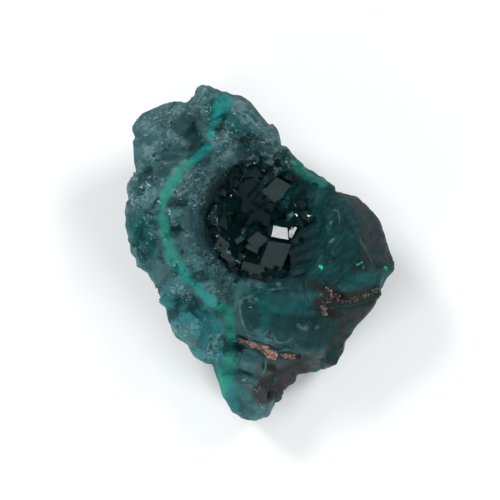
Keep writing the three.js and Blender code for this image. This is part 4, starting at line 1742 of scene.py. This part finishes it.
@dataclass
class CrystalLining:
    """The clear crystals of the hollow. Its lengths are in millimetres.

    Args:
        middle: the middle of the hollow on the open face.
        flats: the crystals that lie with a face towards the viewer.
        ring_top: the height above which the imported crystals' level top is broken up.
        ring_drop: the least and the most that a corner of that top goes down.
        rim_count: how many crystals stand on the edge.
        rim_reach: the least and the most that they are from the middle.
        rim_fade: how far in from there they become fewer.
        rim_low: the lowest that they stand.
        side_start: how far to either side of the middle their ring is narrower.
        side_reach: the most that they are from the middle there.
        side_fade: how far in from there they become fewer.
        right_end: how far to the right of the middle they go, as far as the wall of prisms.
        radius: the smallest and the largest of them.
        length: how many times longer than that they are.
        lean: how much their directions vary.
        tries: how many times one is turned so that it mirrors no lamp.
        crust_seed, seed: the seeds of the random draws.
    """

    middle: tuple[float, float] = (1.2, 5.2)
    flats: tuple[FlatCrystal, ...] = (
        FlatCrystal((4.35, 3.25, 4.0), 2.05, 3.0, -10, (-0.09, 0.10)),
        FlatCrystal((6.4, 3.45, 3.8), 1.05, 2.1, 62, (-0.09, 0.10)),
        FlatCrystal((3.4, -0.8, 3.6), 4.0, 5.4, 68, (0.01, -0.02)),
        FlatCrystal((-0.6, -3.9, 3.7), 2.9, 4.6, -14, (-0.02, 0.03)),
        FlatCrystal((0.2, 1.9, 3.0), 2.4, 3.0, 40, (0.03, 0.02)),
        FlatCrystal((-6.3, 1.0, 3.6), 2.1, 3.0, -42, (-0.03, -0.02)),
        FlatCrystal((-5.2, -1.2, 4.9), 1.15, 2.7, -40, (-0.02, -0.03)),
        FlatCrystal((-3.1, 2.0, 2.9), 0.9, 1.7, 32, (0.05, 0.04)),
        FlatCrystal((3.8, 11.3, 3.4), 3.1, 4.0, 46, (0.02, 0.05)),
        FlatCrystal((-0.8, 0.3, 3.2), 0.8, 2.4, -28, (0.04, 0.02)),
        FlatCrystal((7.8, -3.9, 4.4), 1.0, 1.3, 10, (0.02, 0.0)),
        FlatCrystal((9.3, -3.8, 4.6), 0.9, 1.2, -6, (0.03, 0.02)),
    )
    ring_top: float = 2.5
    ring_drop: tuple[float, float] = (0.2, 1.5)
    rim_count: int = 150
    rim_reach: tuple[float, float] = (7.2, 12.6)
    rim_fade: float = 3.6
    rim_low: float = 0.9
    side_start: float = 5
    side_reach: float = 10.4
    side_fade: float = 1.6
    right_end: float = 6
    radius: tuple[float, float] = (0.45, 1.15)
    length: tuple[float, float] = (1.7, 3.0)
    lean: float = 0.3
    tries: int = 12
    crust_seed: int = 101
    seed: int = 51

    def build(self, mass: BrokenMass) -> bpy.types.Object:
        """Builds the crystals in the hollow.

        Args:
            mass: the mass that the hollow is in.

        Returns:
            The piece.
        """
        random = np.random.default_rng(self.seed)
        cluster = Cluster()
        self._take_solid(cluster)
        for flat in self.flats:
            flat.grow(cluster)
        self._rim(cluster, mass, random)
        mesh = cluster.mesh("vug_crystals_grown")
        piece = show("vug_crystals_grown", mesh, ClearFinish().make())
        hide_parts(Node.LINING.value)
        return piece

    def _take_solid(self, cluster: Cluster) -> None:
        """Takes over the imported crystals, with their level top broken up.

        Args:
            cluster: where they go.
        """
        welded = bmesh.new()
        welded.from_mesh(Node.LINING.mesh)
        bmesh.ops.remove_doubles(welded, verts=welded.verts, dist=1e-6)
        corners = np.array([vert.co[:] for vert in welded.verts]) / MM
        faces = [[vert.index for vert in face.verts] for face in welded.faces]
        welded.free()
        places = FACE.to_face(corners)
        high = places[:, 2] > self.ring_top
        random = np.random.default_rng(self.crust_seed)
        places[high, 2] -= random.uniform(*self.ring_drop, high.sum())
        cluster.add(FACE.to_world(places), faces)

    def _rim(self, cluster: Cluster, mass: BrokenMass, random: np.random.Generator) -> None:
        """Adds crystals that stand on the edge of the hollow.

        Args:
            cluster: where they go.
            mass: the mass that they stand on.
            random: where their places and turns come from.
        """
        places = FACE.to_face(mass.surface.points)
        ways = mass.surface.ways @ FACE.turn
        away = np.linalg.norm(places[:, :2] - np.array(self.middle), axis=1)
        near, far = self.rim_reach
        wanted = (away > near) & (away < far) & (places[:, 2] > self.rim_low) & (ways[:, 2] > -0.1)
        inward = np.einsum("ij,ij->i", ways[:, :2], np.array(self.middle) - places[:, :2]) > 0
        weight = (wanted & inward) * smooth_step((far - away) / self.rim_fade)
        beside = np.abs(places[:, 0] - self.middle[0]) > self.side_start
        weight = weight * np.where(beside, smooth_step((self.side_reach - away) / self.side_fade), 1)
        weight = weight * (places[:, 0] < self.middle[0] + self.right_end)
        chosen = random.choice(len(places), self.rim_count, replace=False, p=weight / weight.sum())
        for index in chosen:
            radius = random.uniform(*self.radius)
            length = radius * random.uniform(*self.length)
            up = mass.surface.ways[index] + 0.5 * np.array(FACE.out)
            for _ in range(self.tries):
                way = unit(up + random.normal(0, self.lean, 3))
                spin = random.uniform(0, math.tau)
                if not flashes(way, spin):
                    break
            foot = mass.surface.points[index] - way * length * 0.55
            cluster.stand(foot, way, radius, length, spin, random.random())


@dataclass(frozen=True)
class LaidPrism:
    """A long crystal that leans on the wall of the hollow, one face towards the viewer.

    Args:
        foot: where its face starts, on the open face's axes.
        head: where its face meets the rim.
        width: how wide that face is.
    """

    foot: tuple[float, float]
    head: tuple[float, float]
    width: float


@dataclass
class WallPrisms:
    """Long dark crystals side by side on the right wall of the hollow.

    Args:
        laid: the crystals. Each has a slimmer one beside it.
        foot_rise: how far over the wall their feet stand, in millimetres.
        head_sink: how far under it their heads lie.
        seed: the seed of the random draws.
    """

    laid: tuple[LaidPrism, ...] = (
        LaidPrism((1.2, 11.6), (3.8, 15.4), 1.6),
        LaidPrism((5.0, 9.8), (7.4, 14.0), 1.7),
        LaidPrism((5.4, 8.2), (10.0, 12.8), 2.0),
        LaidPrism((6.0, 6.6), (11.6, 11.2), 2.2),
        LaidPrism((6.4, 4.9), (12.8, 9.4), 2.3),
        LaidPrism((7.0, 3.1), (13.8, 7.4), 2.3),
        LaidPrism((7.4, 1.2), (14.4, 5.2), 2.3),
        LaidPrism((7.6, -0.6), (14.6, 2.8), 2.2),
        LaidPrism((7.8, -2.2), (14.4, 0.6), 2.0),
        LaidPrism((8.4, -3.4), (13.6, -1.6), 1.7),
    )
    foot_rise: float = 2.2
    head_sink: float = 0.7
    seed: int = 47

    def build(self, mass: BrokenMass) -> bpy.types.Object:
        """Builds the prisms on the mass.

        Args:
            mass: the mass that the hollow is in.

        Returns:
            The piece.
        """
        random = np.random.default_rng(self.seed)
        wall = mass.surface.tree()
        cluster = Cluster()
        for prism in self.laid:
            self._lay(cluster, wall, prism, 0.0, random)
            shift = random.normal(0, 0.7, 2)
            foot = tuple(np.array(prism.foot) + shift + random.normal(0, 0.3, 2))
            head = tuple(np.array(prism.head) + shift)
            slim = LaidPrism(foot, head, prism.width * random.uniform(0.4, 0.7))
            self._lay(cluster, wall, slim, random.uniform(0.05, 0.3), random)
        places = FACE.to_face(np.array(cluster.points))
        none = np.zeros(len(places))
        marks = {**tinted(places), "facet": np.array(cluster.tones)}
        marks |= {name: none for name in ("glint", "rim", "hollow", "foot", "crease_shade", "near")}
        finish = MassiveFinish(name="wall_prisms", specular=0.05)
        return show("wall_prisms", cluster.mesh("wall_prisms", marks), finish.make())

    def _lay(
        self, cluster: Cluster, wall: BVHTree, prism: LaidPrism, rise: float, random: np.random.Generator
    ) -> None:
        """Adds one prism.

        Args:
            cluster: where it goes.
            wall: the mass it leans on.
            prism: its place and width.
            rise: how far it stands over its neighbours.
            random: where its small turns come from.
        """
        foot, head = (np.array([*spot, self._level(wall, spot)]) for spot in (prism.foot, prism.head))
        foot[2] += self.foot_rise + rise
        head[2] += rise - self.head_sink
        length = np.linalg.norm(head - foot)
        along = (head - foot) / length
        across = unit(np.cross((0, 0, 1), along)) + random.normal(0, 0.10) * np.array([0, 0, 1])
        across = unit(across - along * (across @ along))
        out = np.cross(along, across)
        corners, faces = crystal(prism.width, length * 1.25, BLUNT_SLOPE)
        corners = corners @ np.array(Matrix.Rotation(math.pi / 6, 3, "Z")).T
        flat = prism.width * math.cos(math.pi / 6)
        placed = foot - along * length * 0.2 - out * flat + corners @ np.stack([out, -across, along])
        cluster.add(FACE.to_world(placed), faces, random.random())

    @staticmethod
    def _level(wall: BVHTree, spot: tuple[float, float]) -> float:
        """Finds how far out the wall stands.

        Args:
            wall: the wall.
            spot: a place of the open face.

        Returns:
            The wall's height there, in millimetres on the axes of the face.
        """
        start = Vector(FACE.to_world(np.array([*spot, OVERHEAD])))
        return OVERHEAD - wall.ray_cast(start, -FACE.out)[3]


@dataclass
class WallDruse:
    """Small crystals that stand close together on the wall round the hollow.

    Args:
        count: how many.
        radius: the smallest and the largest, in millimetres.
        length: how many times longer than that they are.
        low: the lowest that they stand on the axes of the open face.
        lean: how much their directions vary.
        seed: the seed of the random draws.
    """

    count: int = 420
    radius: tuple[float, float] = (0.14, 0.42)
    length: tuple[float, float] = (1.6, 2.6)
    low: float = 2
    lean: float = 0.4
    seed: int = 41

    def build(self, mass: BrokenMass) -> bpy.types.Object:
        """Builds the crystals on the mass.

        Args:
            mass: the mass that the hollow is in.

        Returns:
            The piece.
        """
        random = np.random.default_rng(self.seed)
        surface, cluster = mass.surface, Cluster()
        places = FACE.to_face(surface.points)
        wanted = (mass.marks["wall"] + mass.marks["sugar"]) * (1 - mass.marks["hollow"])
        wanted = wanted * (places[:, 2] > self.low) * surface.ahead().clip(0, 1)
        chosen = random.choice(len(places), self.count, replace=False, p=wanted / wanted.sum())
        for index in chosen:
            radius = random.uniform(*self.radius) * random.uniform(0.6, 1)
            length = radius * random.uniform(*self.length)
            way = unit(surface.ways[index] + random.normal(0, self.lean, 3))
            foot = surface.points[index] - way * length * 0.5
            cluster.stand(foot, way, radius, length, random.uniform(0, math.tau), random.random())
        marks = tinted(FACE.to_face(np.array(cluster.points)))
        return show("wall_druse", cluster.mesh("wall_druse", marks), DruseFinish().make())


@dataclass
class CleavageFlakes:
    """Small cleavage faces on the broken mass that catch the light.

    Args:
        count: how many are tried.
        length: the shortest and the longest, in millimetres.
        slim: the least and the most of that length that they are wide.
        thick: how thick they are.
        waver: how much their directions vary.
        grain: how much they turn with the slope that they lie on.
        twist: how much their turns vary, in radians.
        rise: how far they stand off the surface.
        steepest: the least that the surface under one may agree with its direction, as a cosine.
        facing: the least that the surface under one may look out of the open face, as a cosine.
        knots: how many places they gather round.
        sparser: how much fewer they are where a mark is.
        seed: the seed of the random draws.
    """

    count: int = 380
    length: tuple[float, float] = (0.25, 1.0)
    slim: tuple[float, float] = (0.18, 0.42)
    thick: float = 0.14
    waver: float = 0.07
    grain: float = 0.9
    twist: float = 0.35
    rise: float = 0.03
    steepest: float = 0.62
    facing: float = 0.35
    knots: int = 110
    sparser: tuple[tuple[str, float], ...] = (
        ("wall", 0.5), ("hollow", 1), ("dusk", 0.97), ("calm", 0.93), ("skin", 0.85)
    )
    seed: int = 71

    def build(self, mass: BrokenMass) -> bpy.types.Object:
        """Builds the flakes on the mass.

        Args:
            mass: the mass.

        Returns:
            The piece.
        """
        random = np.random.default_rng(self.seed)
        surface, cluster = mass.surface, Cluster()
        places = FACE.to_face(surface.points)
        knots = places[random.choice(len(places), self.knots, replace=False)]
        gather = np.max([np.exp(-((places - knot) ** 2).sum(axis=1) / 3) for knot in knots], axis=0)
        wanted = 0.12 + gather**3 + 1.7 * mass.marks["sugar"]
        for mark, less in self.sparser:
            wanted = wanted * (1 - less * mass.marks[mark])
        wanted = wanted * (surface.ahead() > self.facing)
        chosen = random.choice(len(places), self.count, replace=False, p=wanted / wanted.sum())
        tilts = [unit(np.array(FACE.out) + np.array(FACE.aim(lamp.way))) for lamp in SOFTBOXES]
        for index in chosen:
            way = surface.ways[index]
            best = max(tilts, key=lambda tilt: tilt @ way)
            if best @ way < self.steepest:
                continue
            normal = unit(best + random.normal(0, self.waver, 3))
            turn = self.grain * way[0] + random.normal(0, self.twist)
            corners, faces = self._flake(random)
            spot = surface.points[index] + self.rise * way
            cluster.add(corners @ upright(normal, turn).T + spot, faces, random.random())
        marks = tinted(FACE.to_face(np.array(cluster.points)))
        mesh = cluster.mesh("cleavage_flakes", marks)
        return show("cleavage_flakes", mesh, FlakeFinish().make())

    def _flake(self, random: np.random.Generator) -> tuple[np.ndarray, list[list[int]]]:
        """Makes a thin splinter with a flat top, narrower at one end.

        Args:
            random: where its sizes come from.

        Returns:
            Its corners and its faces.
        """
        length = random.uniform(*self.length)
        width = length * random.uniform(*self.slim)
        near, far = width / 2, width / 2 * random.uniform(0.3, 1)
        shear = random.uniform(-0.3, 0.3) * length
        half = length / 2
        top = np.array([(-half, -near), (half + shear, -far), (half, far), (-half - shear, near)])
        upper = np.column_stack([top, np.zeros(4)])
        lower = np.column_stack([top * 0.7, np.full(4, -self.thick)])
        sides = [[k, k + 4, (k + 1) % 4 + 4, (k + 1) % 4] for k in range(4)]
        return np.vstack([upper, lower]), [[0, 1, 2, 3], [7, 6, 5, 4], *sides]


@dataclass(frozen=True)
class Scatter:
    """Grains along a line of the open face.

    Args:
        line: points of the line.
        reach: how far the grains lie from it.
        count: how many.
        size: the smallest and the largest.
        tone: how copper-coloured they are, from umber to rose.
        tan: how much of that is tan instead.
    """

    line: tuple[tuple[float, float], ...]
    reach: float
    count: int
    size: tuple[float, float]
    tone: float
    tan: float

    def spots(self, random: np.random.Generator) -> np.ndarray:
        """Draws where the grains lie.

        Args:
            random: where the draws come from.

        Returns:
            Their places on the open face.
        """
        line = np.array(self.line)
        steps = np.concatenate([[0], np.cumsum(np.linalg.norm(np.diff(line, axis=0), axis=1))])
        along = random.uniform(0, steps[-1], self.count)
        middle = np.stack([np.interp(along, steps, line[:, axis]) for axis in (0, 1)], axis=1)
        angle = random.uniform(0, math.tau, self.count)
        away = self.reach * np.sqrt(random.random(self.count))
        return middle + np.stack([np.cos(angle), np.sin(angle)], axis=1) * away[:, None]


@dataclass
class CleftGrains:
    """Copper-coloured and tan grains in the clefts.

    Args:
        scatters: where they lie.
        corners: how many corners a grain is wrapped round.
        sink: how far its middle is under the surface, as a share of its size.
        squash: the least and the most that it is stretched each way.
        tone_spread: how much the grains of one scatter differ in tone.
        seed: the seed of the random draws.
    """

    scatters: tuple[Scatter, ...] = (
        Scatter(((-2.9, -16.3), (-0.9, -16.9)), 0.4, 130, (0.25, 0.6), 0.5, 0.35),
        Scatter(((-0.9, -16.9), (1.2, -17.6)), 0.5, 180, (0.25, 0.7), 0.85, 0.1),
        Scatter(((1.2, -17.6), (2.4, -18.6), (3.2, -18.9)), 0.72, 260, (0.3, 0.8), 0.85, 0.14),
        Scatter(((4.6, -18.9), (7.2, -19.4)), 0.42, 110, (0.22, 0.5), 0.55, 0.3),
        Scatter(((11.7, -9.8), (12.3, -11.4)), 0.4, 16, (0.6, 1.3), 0.0, 0.8),
        Scatter(((11.4, -8.2), (13.4, -9.8)), 0.8, 12, (0.4, 0.9), -0.2, 0.4),
        Scatter(((12.2, -6.5), (13.2, -7.3)), 0.3, 9, (0.4, 0.9), 0.0, 0.3),
        Scatter(((13.4, -8.0), (15.6, -9.0)), 0.45, 28, (0.55, 1.3), 0.14, 0.25),
        Scatter(((16.2, -9.0), (18.6, -8.4), (21.6, -7.0)), 0.45, 44, (0.4, 1.1), -0.05, 0.35),
    )
    corners: int = 9
    sink: float = 0.04
    squash: tuple[float, float] = (0.75, 1.25)
    tone_spread: float = 0.22
    seed: int = 61

    def build(self, *surfaces: Surface) -> bpy.types.Object:
        """Builds the grains.

        Args:
            surfaces: what they may lie on.

        Returns:
            The piece.
        """
        random = np.random.default_rng(self.seed)
        trees = [surface.tree() for surface in surfaces]
        down = -FACE.out
        cluster, tans = Cluster(), []
        for scatter in self.scatters:
            for spot in scatter.spots(random):
                start = Vector(FACE.to_world(np.array([*spot, OVERHEAD])))
                hits = [tree.ray_cast(start, down) for tree in trees]
                depth = min(hit[3] for hit in hits if hit[3] is not None)
                size = random.uniform(*scatter.size)
                middle = np.array(start + down * (depth + size * self.sink))
                corners = random.normal(size=(self.corners, 3))
                corners *= size / 2 / np.linalg.norm(corners, axis=1, keepdims=True)
                corners *= random.uniform(*self.squash, 3)
                tone = float(np.clip(scatter.tone + random.normal(0, self.tone_spread), 0, 1))
                tan = float(random.random() < scatter.tan)
                before = len(cluster.points)
                cluster.add(*self._hull(corners + middle), tone)
                tans += [tan] * (len(cluster.points) - before)
        mesh = cluster.mesh("cleft_grains", {"tan": np.array(tans)})
        return show("cleft_grains", mesh, GrainFinish().make())

    @staticmethod
    def _hull(corners: np.ndarray) -> tuple[np.ndarray, list[list[int]]]:
        """Wraps some corners in a closed form.

        Args:
            corners: the corners.

        Returns:
            The corners and the faces of the form.
        """
        form = bmesh.new()
        verts = [form.verts.new(corner) for corner in corners]
        bmesh.ops.convex_hull(form, input=verts)
        loose = [vert for vert in form.verts if not vert.link_faces]
        bmesh.ops.delete(form, geom=loose, context="VERTS")
        form.verts.index_update()
        points = np.array([vert.co[:] for vert in form.verts])
        faces = [[vert.index for vert in face.verts] for face in form.faces]
        form.free()
        return points, faces


# ---------------------------------------------------------------- the studio


@dataclass
class Studio:
    """The floor, the lights and the camera.

    Args:
        floor: the floor's side, in millimetres.
        world: the colour of the room.
        centre: what the camera looks at, on the axes of the open face.
        distance: how far the camera is from it, in millimetres.
        field_of_view: how wide the view is there, in millimetres.
        sensor: the width of the camera's sensor, in millimetres.
        clip_start: where its view begins, in metres.
        lamps: the lights.
    """

    floor: float = 3000
    world: Colour = (0.150, 0.182, 0.190)
    centre: tuple[float, float, float] = (-1.2, 0.1, 0)
    distance: float = 335
    field_of_view: float = 91.8
    sensor: float = 36
    clip_start: float = 0.01
    lamps: tuple[Lamp, ...] = LAMPS

    def build(self) -> None:
        """Builds the studio."""
        bpy.context.scene.view_settings.view_transform = "Standard"
        target = Vector(FACE.to_world(np.array(self.centre)) * MM)
        self._lay_floor()
        self._light_room()
        for lamp in self.lamps:
            lamp.hang(target)
        self._set_camera(target)
        log.info("studio: %d lights", len(self.lamps))

    def _lay_floor(self) -> None:
        """Lays the floor at height 0."""
        half = self.floor * MM / 2
        corners = [(-half, -half, 0), (half, -half, 0), (half, half, 0), (-half, half, 0)]
        mesh = bpy.data.meshes.new("floor")
        mesh.from_pydata(corners, [], [(0, 1, 2, 3)])
        mesh.materials.append(FloorFinish().make())
        floor = bpy.data.objects.new("floor", mesh)
        bpy.context.scene.collection.objects.link(floor)

    def _light_room(self) -> None:
        """Fills the room with an even light."""
        world = bpy.data.worlds.new("room")
        world.use_nodes = True
        world.node_tree.nodes["Background"].inputs["Color"].default_value = (*self.world, 1)
        bpy.context.scene.world = world

    def _set_camera(self, target: Vector) -> None:
        """Sets the camera straight over the open face.

        Args:
            target: what it looks at, in metres.
        """
        data = bpy.data.cameras.new("camera")
        data.sensor_width = self.sensor
        data.lens = self.sensor * self.distance / self.field_of_view
        data.clip_start = self.clip_start
        camera = bpy.data.objects.new("camera", data)
        camera.location = target + FACE.out * self.distance * MM
        camera.rotation_euler = (FACE.lean, 0, 0)
        bpy.context.scene.collection.objects.link(camera)
        bpy.context.scene.camera = camera


def report(piece: bpy.types.Object) -> None:
    """Writes down a piece and how many faces it has."""
    log.info("%s: %d faces", piece.name, len(piece.data.polygons))


def main() -> None:
    """Builds the specimen and its studio."""
    logging.basicConfig(level=logging.INFO, format="%(name)s: %(message)s")
    whole, mass, rock = Whole(), BrokenMass(), RockBack()
    report(mass.build(whole))
    report(rock.build(whole))
    report(CrystalLining().build(mass))
    report(WallPrisms().build(mass))
    report(WallDruse().build(mass))
    report(CleavageFlakes().build(mass))
    report(CleftGrains().build(mass.surface, rock.surface))
    Studio().build()


if __name__ == "__main__":
    main()
